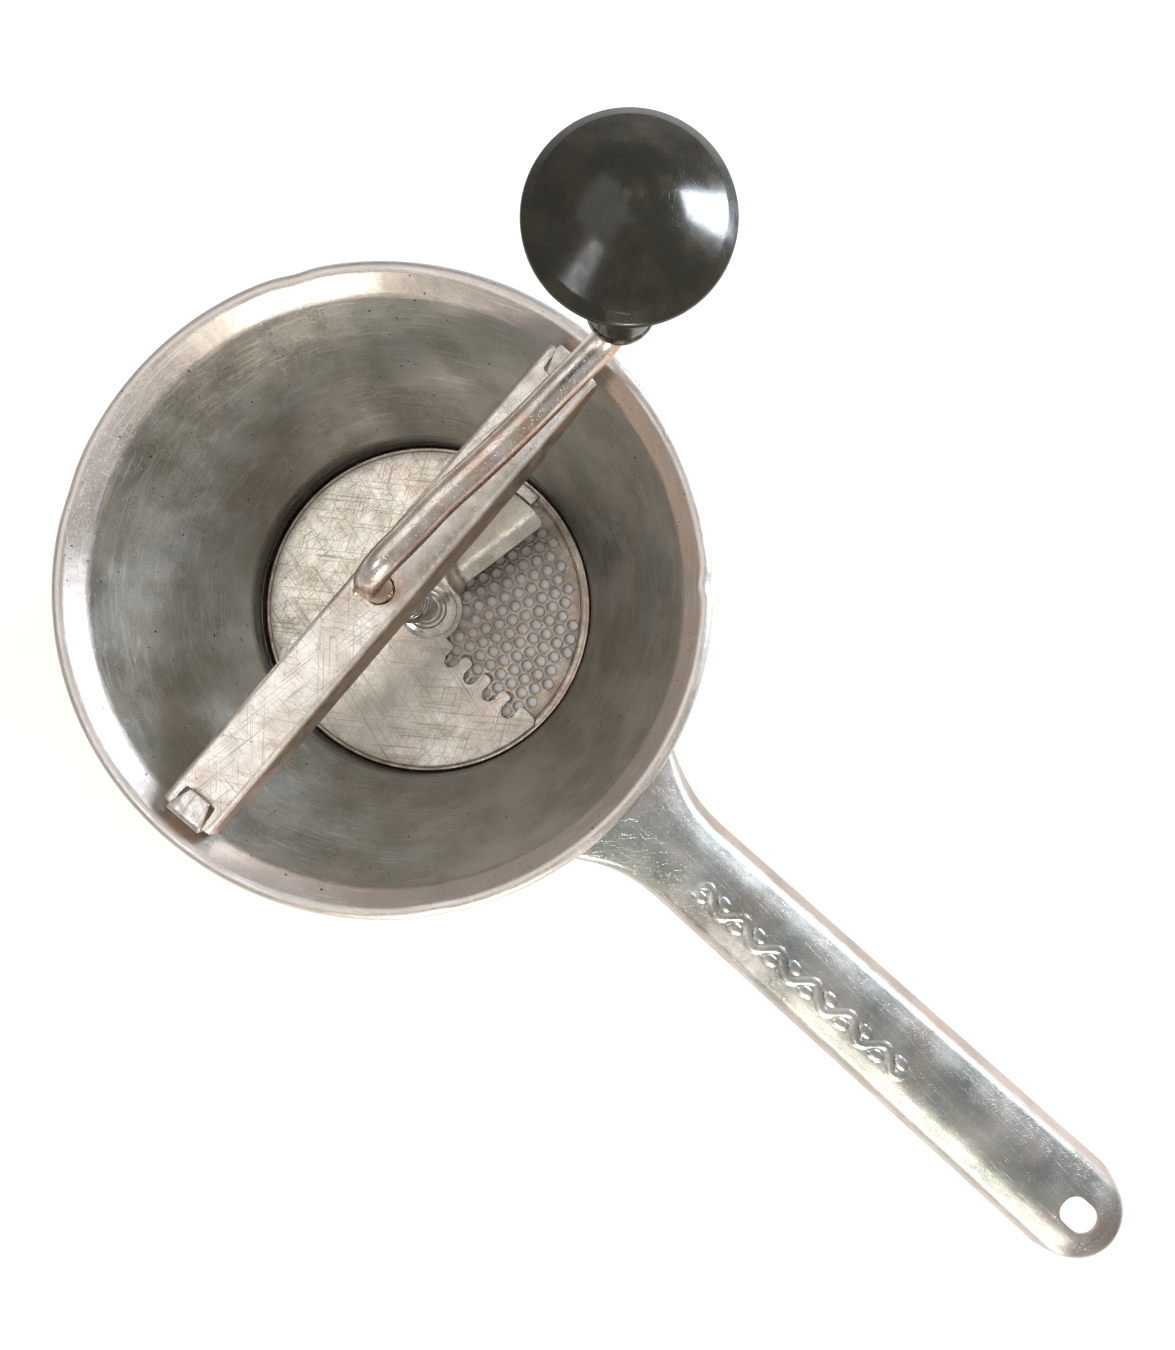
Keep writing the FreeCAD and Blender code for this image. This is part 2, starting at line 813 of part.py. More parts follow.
def make_hub():
    """Turned hub that clamps the blade to the shaft: a domed flange and a short boss."""
    body = new_body("hub")
    foot = dim.blade_height + dim.blade_sheet
    bore = dim.rod_radius + dim.fit_gap
    boss = dim.hub_boss_radius
    neck = dim.hub_neck_radius
    sketch = new_sketch(body, "XZ_Plane")
    corners = [
        (bore, foot),
        (dim.hub_radius, foot),
        (dim.hub_radius, foot + dim.hub_rim, dim.hub_dome_radius),
        (boss + neck * 0.8, foot + dim.hub_shoulder, -neck),
        (boss, foot + dim.hub_shoulder + neck * 0.9),
        (boss, foot + dim.hub_height - dim.hub_chamfer),
        (boss - dim.hub_chamfer, foot + dim.hub_height),
        (bore, foot + dim.hub_height),
    ]
    draw_outline(sketch, corners)
    turned(body, sketch)
    drilling = new_sketch(body, "YZ_Plane")
    draw_circle(drilling, 0.0, dim.hub_pin_height, dim.pin_radius)
    pocket(body, drilling, dim.hub_radius * 2.0, both_ways=True)
    body.Placement = turn_about_z(dim.crank_turn)
    return body


# ---------------------------------------------------------------- presser blade


def blade_cutter(body, turn=None):
    """A sketch above the flat of the blade, for a cut through its sheet."""
    top = dim.blade_height + dim.blade_sheet
    return new_sketch(body, "XY_Plane", offset=top + PAST, turn=turn)


def cut_blade(body, sketch):
    pocket(body, sketch, dim.blade_sheet + 2.0 * PAST)


def cut_open_sector(body):
    """The quarter of the disc that is left open, with the fingers of the trailing edge."""
    turn = (Z_AXIS, -dim.blade_turn.value)
    sector = blade_cutter(body, turn)
    far = dim.blade_radius + PAST
    draw_outline(sector, rectangle(0.0, dim.trailing_edge, far, far))
    cut_blade(body, sector)

    for row in range(int(dim.finger_slots.value)):
        slot = blade_cutter(body, turn)
        middle = dim.finger_first + dim.finger_pitch * float(row)
        half = dim.finger_slot_width / 2.0
        mouth = dim.trailing_edge
        deep = mouth - dim.finger_slot_depth
        corners = [
            (middle + half, mouth + PAST),
            (middle - half, mouth + PAST),
            (middle - half, deep + half, half),
            (middle, deep, half),
            (middle + half, deep + half),
        ]
        draw_outline(slot, corners)
        cut_blade(body, slot)


def cut_wing_window(body):
    """The opening the raised wing is lifted out of, inside a narrow ring left along the edge."""
    window = blade_cutter(body)
    fold = dim.wing_fold
    front = dim.window_front
    ring = dim.ring_inner
    fold_end = root(ring * ring - fold * fold)
    front_end = root(ring * ring - front * front)
    corners = [
        (-fold, dim.wing_inner),
        (front, dim.wing_inner),
        (front, front_end, ring),
        (-fold, fold_end),
    ]
    draw_outline(window, corners)
    cut_blade(body, window)


def add_wing(body, base):
    """The raised leading wing: a ramp up from the fold and a flat lip along its front."""
    sheet = dim.blade_sheet
    raised = base + dim.wing_rise
    front = raised - dim.wing_lip_dip
    overlap = 0.4
    profile = new_sketch(body, "XZ_Plane", offset=-dim.wing_inner)
    corners = [
        (-dim.wing_fold - overlap, base),
        (-dim.wing_fold + overlap / 2.0, base),
        (-dim.wing_lip_back, raised),
        (dim.wing_lip_front, front),
        (dim.wing_lip_front, front + sheet),
        (-dim.wing_lip_back - overlap / 2.0, raised + sheet),
        (-dim.wing_fold - overlap / 2.0, base + sheet),
        (-dim.wing_fold - overlap, base + sheet),
    ]
    draw_outline(profile, corners)
    pad(body, profile, dim.blade_radius - dim.wing_inner, backwards=True)

    trim = new_sketch(body, "XZ_Plane")
    over = base + sheet + dim.weld_gap
    far = dim.blade_radius + dim.wing_fold
    high = raised + sheet + PAST
    corners = [
        (dim.blade_radius, base - PAST),
        (far, base - PAST),
        (far, high),
        (dim.wing_outer, high),
        (dim.wing_outer, over),
        (dim.blade_radius, over),
    ]
    draw_outline(trim, corners)
    turned(body, trim, "PartDesign::Groove")


def make_presser_blade():
    """Flat disc with an open quarter: the raised wing gathers food and presses it through the holes."""
    body = new_body("presser_blade")
    base = dim.blade_height
    blank = new_sketch(body, "XY_Plane", offset=base)
    draw_circle(blank, 0.0, 0.0, dim.blade_radius)
    pad(body, blank, dim.blade_sheet)
    cut_open_sector(body)
    cut_wing_window(body)
    middle = new_sketch(body, "XY_Plane", offset=base)
    draw_circle(middle, 0.0, 0.0, dim.hub_pad_radius)
    pad(body, middle, dim.blade_sheet)
    add_wing(body, base)
    bore = blade_cutter(body)
    draw_circle(bore, 0.0, 0.0, dim.stub_radius + dim.fit_gap)
    cut_blade(body, bore)
    body.Placement = turn_about_z(dim.blade_turn)
    return body


# ---------------------------------------------------------------- spring and washers


def spring_span():
    """The heights between which the coil stands."""
    foot = dim.spring_pin_height + dim.pin_radius + dim.washer_sheet
    top = dim.bridge_top - dim.bridge_sheet - dim.weld_gap - dim.washer_sheet
    return foot, top


def make_spring():
    """Compression spring round the shaft, between the two washers."""
    foot, top = spring_span()
    clearance = dim.spring_wire + dim.fit_gap * 5.0
    helix = doc.addObject("Part::Helix", "spring_line")
    height = top - foot - clearance * 2.0
    bind(helix, "Height", height)
    bind(helix, "Pitch", height / dim.spring_coils)
    bind(helix, "Radius", dim.spring_radius)
    circle = doc.addObject("Part::Circle", "spring_section")
    bind(circle, "Radius", dim.spring_wire)
    circle.Placement = FreeCAD.Placement(
        Vector(dim.spring_radius.value, 0, 0), FreeCAD.Rotation(Vector(1, 0, 0), 90)
    )
    coil = doc.addObject("Part::Sweep", "pressure_spring")
    coil.Label = "pressure_spring"
    coil.Sections = [circle]
    coil.Spine = (helix, ["Edge1"])
    coil.Solid = True
    coil.Frenet = True
    doc.recompute()
    coil.Placement = FreeCAD.Placement(Vector(0, 0, (foot + clearance).value), FreeCAD.Rotation())
    return coil


def make_washers():
    foot, top = spring_span()
    lower = ring_body(
        "spring_washer_lower",
        dim.washer_radius,
        dim.rod_radius + dim.fit_gap * 4.0,
        foot - dim.washer_sheet,
        dim.washer_sheet,
    )
    upper = ring_body(
        "spring_washer_upper",
        dim.washer_radius,
        dim.rod_radius + dim.running_gap,
        top,
        dim.washer_sheet,
    )
    return [lower, upper]


# ---------------------------------------------------------------- knob


def make_knob():
    """Moulded grip: a waisted stem under a wide shallow dome, hollow for its metal sleeve."""
    body = new_body("knob")
    sketch = new_sketch(body, "XZ_Plane")
    bore = dim.sleeve_radius + dim.fit_gap
    foot = dim.knob_foot
    widest = dim.knob_widest
    edge = dim.knob_radius
    foot_round = dim.knob_foot_round
    nose = dim.knob_nose
    nose_half = nose * 0.4
    nose_rise = nose - root(nose * nose - nose_half * nose_half)
    corners = [
        (bore, foot),
        (dim.knob_foot_radius - foot_round, foot, foot_round),
        (dim.knob_foot_radius, foot + foot_round),
        (dim.knob_foot_radius, foot + foot_round * 2.5, -dim.knob_foot_curve),
        (dim.knob_waist_radius, dim.knob_waist, -dim.knob_waist_curve),
        (edge - 6.5, widest - 7.0, -dim.knob_flare_curve),
        (edge - 0.8, widest - 2.2),
        (edge, widest - 1.2),
        (edge, widest, dim.knob_edge_round),
        (edge - 1.3, widest + 1.5, dim.knob_dome_curve),
        (nose_half, dim.knob_top - nose_rise, nose),
        (0.0, dim.knob_top),
        (0.0, dim.clip_cavity_top),
        (dim.clip_cavity_radius, dim.clip_cavity_top),
        (dim.clip_cavity_radius, dim.sleeve_top + dim.fit_gap),
        (bore, dim.sleeve_top + dim.fit_gap),
    ]
    draw_outline(sketch, corners)
    turned(body, sketch)
    body.Placement = turn_about_z(0.0, crank_end())
    return body


def make_knob_fittings():
    """The knob's metal sleeve, the washer on the spindle's shoulder and the clip at its top."""
    sleeve = ring_body(
        "knob_sleeve",
        dim.sleeve_radius,
        dim.spindle_radius + dim.fit_gap * 3.0,
        dim.knob_foot,
        dim.sleeve_top - dim.knob_foot,
    )
    washer = ring_body(
        "knob_washer",
        dim.knob_washer_radius,
        dim.spindle_radius + dim.fit_gap,
        dim.spindle_shoulder,
        dim.knob_foot - dim.spindle_shoulder - dim.running_gap,
    )
    clip_foot = dim.sleeve_top + dim.clip_play
    clip = ring_body(
        "spindle_clip",
        dim.clip_radius,
        dim.spindle_radius - dim.clip_groove_depth + dim.fit_gap,
        clip_foot,
        dim.clip_sheet,
    )
    gap = new_sketch(clip, "XY_Plane", offset=clip_foot + dim.clip_sheet + PAST)
    side = dim.clip_gap / 2.0
    draw_outline(gap, rectangle(0.0, -side, dim.clip_radius + PAST, side))
    pocket(clip, gap, dim.clip_sheet + 2.0 * PAST)
    for piece in (sleeve, washer, clip):
        piece.Placement = turn_about_z(dim.crank_turn, crank_end())
    return [sleeve, washer, clip]


# ---------------------------------------------------------------- build, check and write


def make_all():
    pieces = [
        make_bowl(),
        make_rim_wire(),
        make_handle(),
        make_straining_disc(),
        make_bridge(),
        make_bridge_lug("bridge_lug_left", 0.0),
        make_bridge_lug("bridge_lug_right", 180.0),
        make_crank_rod(),
        make_stop_pin(),
        make_spring_pin(),
        make_hub_pin(),
        make_hub(),
        make_presser_blade(),
        make_spring(),
        make_knob(),
    ]
    return pieces + make_washers() + make_knob_fittings()


def check(pieces):
    doc.recompute()
    for item in doc.Objects:
        if "Invalid" in item.State or "Error" in item.State:
            raise RuntimeError(f"{item.Label} did not recompute: {item.State}")
    for piece in pieces:
        if piece.Shape.isNull() or not piece.Shape.isValid() or not piece.Shape.Solids:
            raise RuntimeError(f"{piece.Label} has no valid solid")
        solids = len(piece.Shape.Solids)
        print(f"{piece.Label}: {solids} solid, {piece.Shape.Volume:.1f} mm3")


def write(pieces):
    os.makedirs("parts", exist_ok=True)
    for piece in pieces:
        piece.Shape.exportStep(f"parts/{piece.Label}.step")


all_pieces = make_all()
check(all_pieces)
write(all_pieces)
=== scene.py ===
import json
import math

import bpy
from mathutils import Matrix, Vector, noise
from mathutils.geometry import delaunay_2d_cdt


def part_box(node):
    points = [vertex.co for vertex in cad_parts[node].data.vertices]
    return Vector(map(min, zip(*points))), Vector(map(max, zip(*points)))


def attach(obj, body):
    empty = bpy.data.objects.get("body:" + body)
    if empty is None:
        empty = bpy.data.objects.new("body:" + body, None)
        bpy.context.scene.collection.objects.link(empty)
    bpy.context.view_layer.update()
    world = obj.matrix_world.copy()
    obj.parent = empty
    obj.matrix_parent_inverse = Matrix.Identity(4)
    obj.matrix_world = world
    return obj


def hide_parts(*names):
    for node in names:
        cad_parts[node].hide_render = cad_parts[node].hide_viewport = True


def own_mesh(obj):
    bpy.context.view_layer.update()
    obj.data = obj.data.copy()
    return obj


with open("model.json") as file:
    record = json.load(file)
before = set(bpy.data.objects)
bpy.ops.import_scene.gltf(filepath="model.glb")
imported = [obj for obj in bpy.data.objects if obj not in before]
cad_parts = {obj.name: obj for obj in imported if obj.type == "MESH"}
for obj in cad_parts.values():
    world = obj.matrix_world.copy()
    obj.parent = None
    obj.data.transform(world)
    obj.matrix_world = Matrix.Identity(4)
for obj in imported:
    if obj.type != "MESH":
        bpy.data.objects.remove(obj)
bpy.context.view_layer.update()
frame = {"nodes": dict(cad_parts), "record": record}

# A hand-cranked food mill seen from straight above. Shapes are worked out in millimetres in the CAD frame:
# origin at the foot of the crank's axis, +Z up, +X along the handle.

MM = 0.001
UP = Vector((0, 0, 1))
BOXES = {name: [Vector(corner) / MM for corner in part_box(name)] for name in frame["nodes"]}


def box_mm(node):
    """The lowest and the highest corner of a CAD node, in millimetres."""
    return BOXES[node]


def joint(name):
    """The record's entry for a joint."""
    return [item for item in frame["record"]["behaviour"]["joints"] if item["name"] == name][0]


KNOB_CENTRE = Vector(joint("knob_spin")["pos_m"]) / MM
KNOB_MOVE = Vector((KNOB_CENTRE.x, KNOB_CENTRE.y, 0))
THROW = math.hypot(KNOB_CENTRE.x, KNOB_CENTRE.y)
CRANK_TURN = math.atan2(KNOB_CENTRE.y, KNOB_CENTRE.x)
BLADE_TURN = math.radians(-11.0)
BRIDGE_TURN = math.radians(1.5)


# ---------------------------------------------------------------- outlines


def smooth(value, start, end):
    """0 before start, 1 after end, and a smooth step between them."""
    share = min(max((value - start) / (end - start), 0.0), 1.0)
    return share * share * (3.0 - 2.0 * share)


def turned(point, angle):
    """The point (x, y) turned to the left about the origin."""
    across = point[0] * math.cos(angle) - point[1] * math.sin(angle)
    along = point[0] * math.sin(angle) + point[1] * math.cos(angle)
    return (across, along)


def arc(centre, radius, start, end, count):
    """Points of an arc from start to end, in degrees; a larger end turns to the left."""
    points = []
    for row in range(count + 1):
        angle = math.radians(start + (end - start) * row / count)
        points.append((centre[0] + radius * math.cos(angle), centre[1] + radius * math.sin(angle)))
    return points


def bowed(start, end, sag, count):
    """Points from start to end along a shallow curve that stands out to the right by sag."""
    run = Vector(end) - Vector(start)
    right = Vector((run.y, -run.x)).normalized()
    points = []
    for row in range(count + 1):
        share = row / count
        point = Vector(start) + run * share + right * sag * 4.0 * share * (1.0 - share)
        points.append((point.x, point.y))
    return points


def rounded(corners, closed=False, steps=6):
    """A line through the corners. A corner is (x, y), or (x, y, radius) to be rounded."""
    points = []
    count = len(corners)
    for row, corner in enumerate(corners):
        here = Vector(corner[:2])
        at_end = not closed and row in (0, count - 1)
        if len(corner) == 2 or at_end:
            points.append((here.x, here.y))
            continue
        before = (Vector(corners[row - 1][:2]) - here).normalized()
        after = (Vector(corners[(row + 1) % count][:2]) - here).normalized()
        half = before.angle(after) / 2.0
        if half > math.radians(89.0):
            points.append((here.x, here.y))
            continue
        radius = corner[2]
        reach = radius / math.tan(half)
        centre = here + (before + after).normalized() * (radius / math.sin(half))
        first = here + before * reach - centre
        last = here + after * reach - centre
        sweep_angle = first.angle_signed(last)
        for step in range(steps + 1):
            spoke = first.copy()
            spoke.rotate(Matrix.Rotation(-sweep_angle * step / steps, 2))
            points.append((centre.x + spoke.x, centre.y + spoke.y))
    return points


REPEATED = 1e-3


def resampled(points, spacing, closed=True):
    """The same line with no two points further apart than spacing and none repeated."""
    result = []
    count = len(points) if closed else len(points) - 1
    for row in range(count):
        start = Vector(points[row])
        end = Vector(points[(row + 1) % len(points)])
        if (end - start).length < REPEATED:
            continue
        pieces = max(1, math.ceil((end - start).length / spacing))
        for piece in range(pieces):
            point = start.lerp(end, piece / pieces)
            result.append((point.x, point.y))
    if not closed:
        result.append(points[-1])
    return result


def inside(point, loops):
    """True if the point lies in the region between the loops."""
    crossings = 0
    for loop in loops:
        for row in range(len(loop)):
            first = loop[row - 1]
            second = loop[row]
            if (first[1] > point[1]) != (second[1] > point[1]):
                share = (point[1] - first[1]) / (second[1] - first[1])
                if point[0] < first[0] + share * (second[0] - first[0]):
                    crossings += 1
    return crossings % 2 == 1


# ---------------------------------------------------------------- meshes


class Shape:
    """Points and faces of one piece while it is being built."""

    def __init__(self):
        self.points = []
        self.faces = []

    def add_points(self, points):
        first = len(self.points)
        self.points += [Vector(point) for point in points]
        return list(range(first, len(self.points)))

    def join_rings(self, first, second, closed=True):
        """Quads between two rows of points; a row with one point is a tip."""
        count = max(len(first), len(second))
        last = count if closed else count - 1
        for row in range(last):
            after = (row + 1) % count
            corners = [
                first[row % len(first)],
                first[after % len(first)],
                second[after % len(second)],
                second[row % len(second)],
            ]
            kept = [corner for place, corner in enumerate(corners) if corner != corners[place - 1]]
            if len(kept) > 2:
                self.faces.append(kept)

    def bend(self, rule):
        """Moves every point by the rule."""
        self.points = [Vector(rule(point)) for point in self.points]

    def flip(self):
        """Turns every face to the other side."""
        self.faces = [list(reversed(face)) for face in self.faces]


def lathe(profile, steps, closed=True):
    """A profile of (radius, height) turned round the Z axis."""
    shape = Shape()
    rings = []
    for radius, height in profile:
        if radius < 1e-6:
            rings.append(shape.add_points([(0.0, 0.0, height)]))
            continue
        ring = []
        for step in range(steps):
            angle = 2.0 * math.pi * step / steps
            ring.append((radius * math.cos(angle), radius * math.sin(angle), height))
        rings.append(shape.add_points(ring))
    count = len(rings) if closed else len(rings) - 1
    for row in range(count):
        shape.join_rings(rings[row], rings[(row + 1) % len(rings)])
    return shape


def sweep(path, radii, sides):
    """A round bar along a path, with one radius for each point and closed ends."""
    shape = Shape()
    rings = []
    side = None
    for row, point in enumerate(path):
        before = path[max(row - 1, 0)]
        after = path[min(row + 1, len(path) - 1)]
        along = (Vector(after) - Vector(before)).normalized()
        if side is None:
            side = along.orthogonal().normalized()
        side = (side - along * side.dot(along)).normalized()
        other = along.cross(side)
        ring = []
        for step in range(sides):
            angle = 2.0 * math.pi * step / sides
            spoke = side * math.cos(angle) + other * math.sin(angle)
            ring.append(Vector(point) + spoke * radii[row])
        rings.append(shape.add_points(ring))
    for row in range(len(rings) - 1):
        shape.join_rings(rings[row], rings[row + 1])
    shape.faces.append(list(reversed(rings[0])))
    shape.faces.append(list(rings[-1]))
    return shape


def inset(loop, distance):
    """The loop moved to its left, into the material, by a distance."""
    moved = []
    count = len(loop)
    for row in range(count):
        here = Vector(loop[row])
        before = (here - Vector(loop[row - 1])).normalized()
        after = (Vector(loop[(row + 1) % count]) - here).normalized()
        left = Vector((-before.y - after.y, before.x + after.x))
        if left.length < 1e-6:
            left = Vector((-before.y, before.x))
        left.normalize()
        stretch = max(left.dot(Vector((-before.y, before.x))), 0.4)
        point = here + left * distance / stretch
        moved.append((point.x, point.y))
    return moved


def anywhere(x, y):
    return True


def scattered(loops, spacing, margin, region=anywhere):
    """Extra points for a sheet, on a triangular grid inside the loops where region(x, y) is true."""
    cells = {}
    for loop in loops:
        for x, y in resampled(loop, margin):
            cells.setdefault((round(x / margin), round(y / margin)), True)
    xs = [point[0] for point in loops[0]]
    ys = [point[1] for point in loops[0]]
    points = []
    row_step = spacing * 0.866
    rows = int((max(ys) - min(ys)) / row_step) + 1
    columns = int((max(xs) - min(xs)) / spacing) + 1
    for row in range(rows):
        for column in range(columns):
            x = min(xs) + spacing * (column + 0.5 * (row % 2))
            y = min(ys) + row_step * row
            column_cell = round(x / margin)
            row_cell = round(y / margin)
            near = any(
                (column_cell + dx, row_cell + dy) in cells for dx in (-1, 0, 1) for dy in (-1, 0, 1)
            )
            if not near and region(x, y) and inside((x, y), loops):
                points.append((x, y))
    return points


def fill(loops, extra, keep):
    """Triangles between the loops, as rows of an input list of all the loops' points and the extra ones."""
    points = []
    edges = []
    for loop in loops:
        first = len(points)
        points += [Vector(point) for point in loop]
        count = len(loop)
        edges += [(first + row, first + (row + 1) % count) for row in range(count)]
    points += [Vector(point) for point in extra]
    vertices, _, faces, origins, _, _ = delaunay_2d_cdt(points, edges, [], 1, 1e-6)
    rows = []
    for vertex, origin in zip(vertices, origins):
        if origin:
            rows.append(origin[0])
        else:
            rows.append(min(range(len(points)), key=lambda row: (points[row] - vertex).length_squared))
    triangles = []
    for face in faces:
        centre = (vertices[face[0]] + vertices[face[1]] + vertices[face[2]]) / 3.0
        corners = [rows[corner] for corner in face]
        if keep(centre) and len(set(corners)) == 3:
            triangles.append(corners)
    return triangles


def slab(loops, foot, top, edge, extra, rise, edge_steps=3):
    """A sheet between two heights with rounded edges, bent by the rule rise.

    The first loop runs to the left round the outside and the others run to the right round holes.
    """
    shape = Shape()
    levels = []
    for step in range(edge_steps, -1, -1):
        angle = math.pi / 2.0 * step / edge_steps
        levels.append((edge * (1.0 - math.cos(angle)), top - edge + edge * math.sin(angle)))
    for step in range(edge_steps + 1):
        angle = math.pi / 2.0 * step / edge_steps
        levels.append((edge * (1.0 - math.cos(angle)), foot + edge - edge * math.sin(angle)))
    flat = [inset(loop, edge) for loop in loops]
    rows = []
    for distance, height in levels:
        level = []
        for loop in loops:
            moved = inset(loop, distance)
            level.append(shape.add_points([(x, y, height) for x, y in moved]))
        rows.append(level)
    for above, below in zip(rows, rows[1:]):
        for first, second in zip(above, below):
            shape.join_rings(second, first)

    def outside_holes(point):
        return not any(inside(point, [hole]) for hole in flat[1:])

    triangles = fill(flat, extra, outside_holes)
    sides = ((top, rows[0], False), (foot, rows[-1], True))
    for height, level, flipped in sides:
        table = [index for loop in level for index in loop]
        table += shape.add_points([(x, y, height) for x, y in extra])
        for triangle in triangles:
            corners = [table[corner] for corner in triangle]
            shape.faces.append(list(reversed(corners)) if flipped else corners)
    shape.bend(rise)
    return shape


def add_piece(name, shape, body, slot, stands_for=(), sharp=40.0, weighted=False):
    """Makes the shape a piece of the object that moves with a CAD body and has its slot's material."""
    mesh = bpy.data.meshes.new(name)
    mesh.from_pydata([point * MM for point in shape.points], [], shape.faces)
    mesh.validate()
    mesh.update()
    mesh.polygons.foreach_set("use_smooth", [True] * len(mesh.polygons))
    mesh.set_sharp_from_angle(angle=math.radians(sharp))
    piece = bpy.data.objects.new(name, mesh)
    bpy.context.collection.objects.link(piece)
    mesh.materials.append(MATERIALS[slot])
    if weighted:
        modifier = piece.modifiers.new("weighted", "WEIGHTED_NORMAL")
        modifier.keep_sharp = True
    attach(piece, body)
    if stands_for:
        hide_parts(*stands_for)
    return piece


# ---------------------------------------------------------------- materials


NOISE_ROUGHNESS = 0.55
SCRATCH_LEVEL = 0.69
SCRATCH_EDGE = 0.05


class Graph:
    """Short calls for building the nodes of one material."""

    def __init__(self, name):
        self.material = bpy.data.materials.new(name)
        self.material.use_nodes = True
        self.tree = self.material.node_tree
        self.tree.nodes.clear()
        position = self.node("ShaderNodeTexCoord").outputs["Object"]
        self.place = self.vector("SCALE", position, scale=1.0 / MM)

    def node(self, kind, **settings):
        item = self.tree.nodes.new(kind)
        for name, value in settings.items():
            setattr(item, name, value)
        return item

    def put(self, socket, value):
        if isinstance(value, bpy.types.NodeSocket):
            self.tree.links.new(value, socket)
        else:
            socket.default_value = value

    def vector(self, operation, first, second=None, scale=None):
        item = self.node("ShaderNodeVectorMath", operation=operation)
        self.put(item.inputs[0], first)
        if second is not None:
            self.put(item.inputs[1], second)
        if scale is not None:
            self.put(item.inputs["Scale"], scale)
        return item.outputs[0]

    def math(self, operation, first, second=0.0, third=None):
        item = self.node("ShaderNodeMath", operation=operation)
        self.put(item.inputs[0], first)
        self.put(item.inputs[1], second)
        if third is not None:
            self.put(item.inputs[2], third)
        return item.outputs[0]

    def step(self, value, start, end, low=0.0, high=1.0):
        """low before start, high after end, and a smooth step between them."""
        item = self.node("ShaderNodeMapRange", interpolation_type="SMOOTHSTEP")
        self.put(item.inputs["Value"], value)
        self.put(item.inputs["From Min"], start)
        self.put(item.inputs["From Max"], end)
        self.put(item.inputs["To Min"], low)
        self.put(item.inputs["To Max"], high)
        return item.outputs["Result"]

    def noise(self, place, size, detail=3.0, shift=0.0):
        """Noise whose features are about size wide."""
        item = self.node("ShaderNodeTexNoise")
        if shift:
            place = self.vector("ADD", place, (shift, shift * 0.7, -shift))
        self.put(item.inputs["Vector"], place)
        self.put(item.inputs["Scale"], 1.0 / size)
        self.put(item.inputs["Detail"], detail)
        self.put(item.inputs["Roughness"], NOISE_ROUGHNESS)
        return item.outputs["Fac"]

    def stretched(self, angle, length, width, shift):
        """The place turned about Z and squeezed, so that noise on it makes streaks."""
        item = self.node("ShaderNodeMapping", vector_type="TEXTURE")
        self.put(item.inputs["Vector"], self.place)
        self.put(item.inputs["Location"], (shift, -shift, 0.0))
        self.put(item.inputs["Rotation"], (0.0, 0.0, math.radians(angle)))
        self.put(item.inputs["Scale"], (length, width, width))
        return item.outputs["Vector"]

    def split(self, vector):
        item = self.node("ShaderNodeSeparateXYZ")
        self.put(item.inputs[0], vector)
        return item.outputs

    def join(self, x, y, z):
        item = self.node("ShaderNodeCombineXYZ")
        self.put(item.inputs[0], x)
        self.put(item.inputs[1], y)
        self.put(item.inputs[2], z)
        return item.outputs[0]

    def mix(self, share, first, second):
        item = self.node("ShaderNodeMix", data_type="RGBA")
        self.put(item.inputs["Factor"], share)
        self.put(item.inputs["A"], first if isinstance(first, bpy.types.NodeSocket) else (*first, 1.0))
        self.put(item.inputs["B"], second if isinstance(second, bpy.types.NodeSocket) else (*second, 1.0))
        return item.outputs["Result"]

    def scratches(self, angle, length, width, share, shift):
        """Thin streaks in one direction; share says how much of the surface they take."""
        streaks = self.noise(self.stretched(angle, length, width, shift), 1.0, detail=1.0)
        level = SCRATCH_LEVEL - share * 0.3
        return self.step(streaks, level, level + SCRATCH_EDGE)

    def rings(self, width, stretch):
        """Streaks round the Z axis, as turning and wiping leave them, and the distance from the axis."""
        x, y, z = self.split(self.place)
        squares = self.math("ADD", self.math("MULTIPLY", x, x), self.math("MULTIPLY", y, y))
        distance = self.math("SQRT", squares)
        angle = self.math("ARCTAN2", y, x)
        place = self.join(
            self.math("DIVIDE", distance, width),
            self.math("MULTIPLY", angle, stretch),
            self.math("DIVIDE", z, width),
        )
        return self.noise(place, 1.0, detail=2.0), distance

    def up_share(self):
        """How far the surface faces up, from 0 on a wall to 1 on a flat."""
        normal = self.node("ShaderNodeNewGeometry").outputs["Normal"]
        return self.math("ABSOLUTE", self.split(normal)[2])

    def bump(self, height, depth, under=None):
        item = self.node("ShaderNodeBump")
        self.put(item.inputs["Height"], height)
        self.put(item.inputs["Distance"], depth * MM)
        self.put(item.inputs["Strength"], 1.0)
        if under is not None:
            self.put(item.inputs["Normal"], under)
        return item.outputs["Normal"]

    def shader(self, color, roughness, normal, metallic=1.0, specular=0.5):
        item = self.node("ShaderNodeBsdfPrincipled")
        self.put(item.inputs["Base Color"], color)
        self.put(item.inputs["Roughness"], roughness)
        self.put(item.inputs["Metallic"], metallic)
        self.put(item.inputs["Normal"], normal)
        item.inputs["Specular IOR Level"].default_value = specular
        output = self.node("ShaderNodeOutputMaterial")
        self.tree.links.new(item.outputs["BSDF"], output.inputs["Surface"])
        return self.material


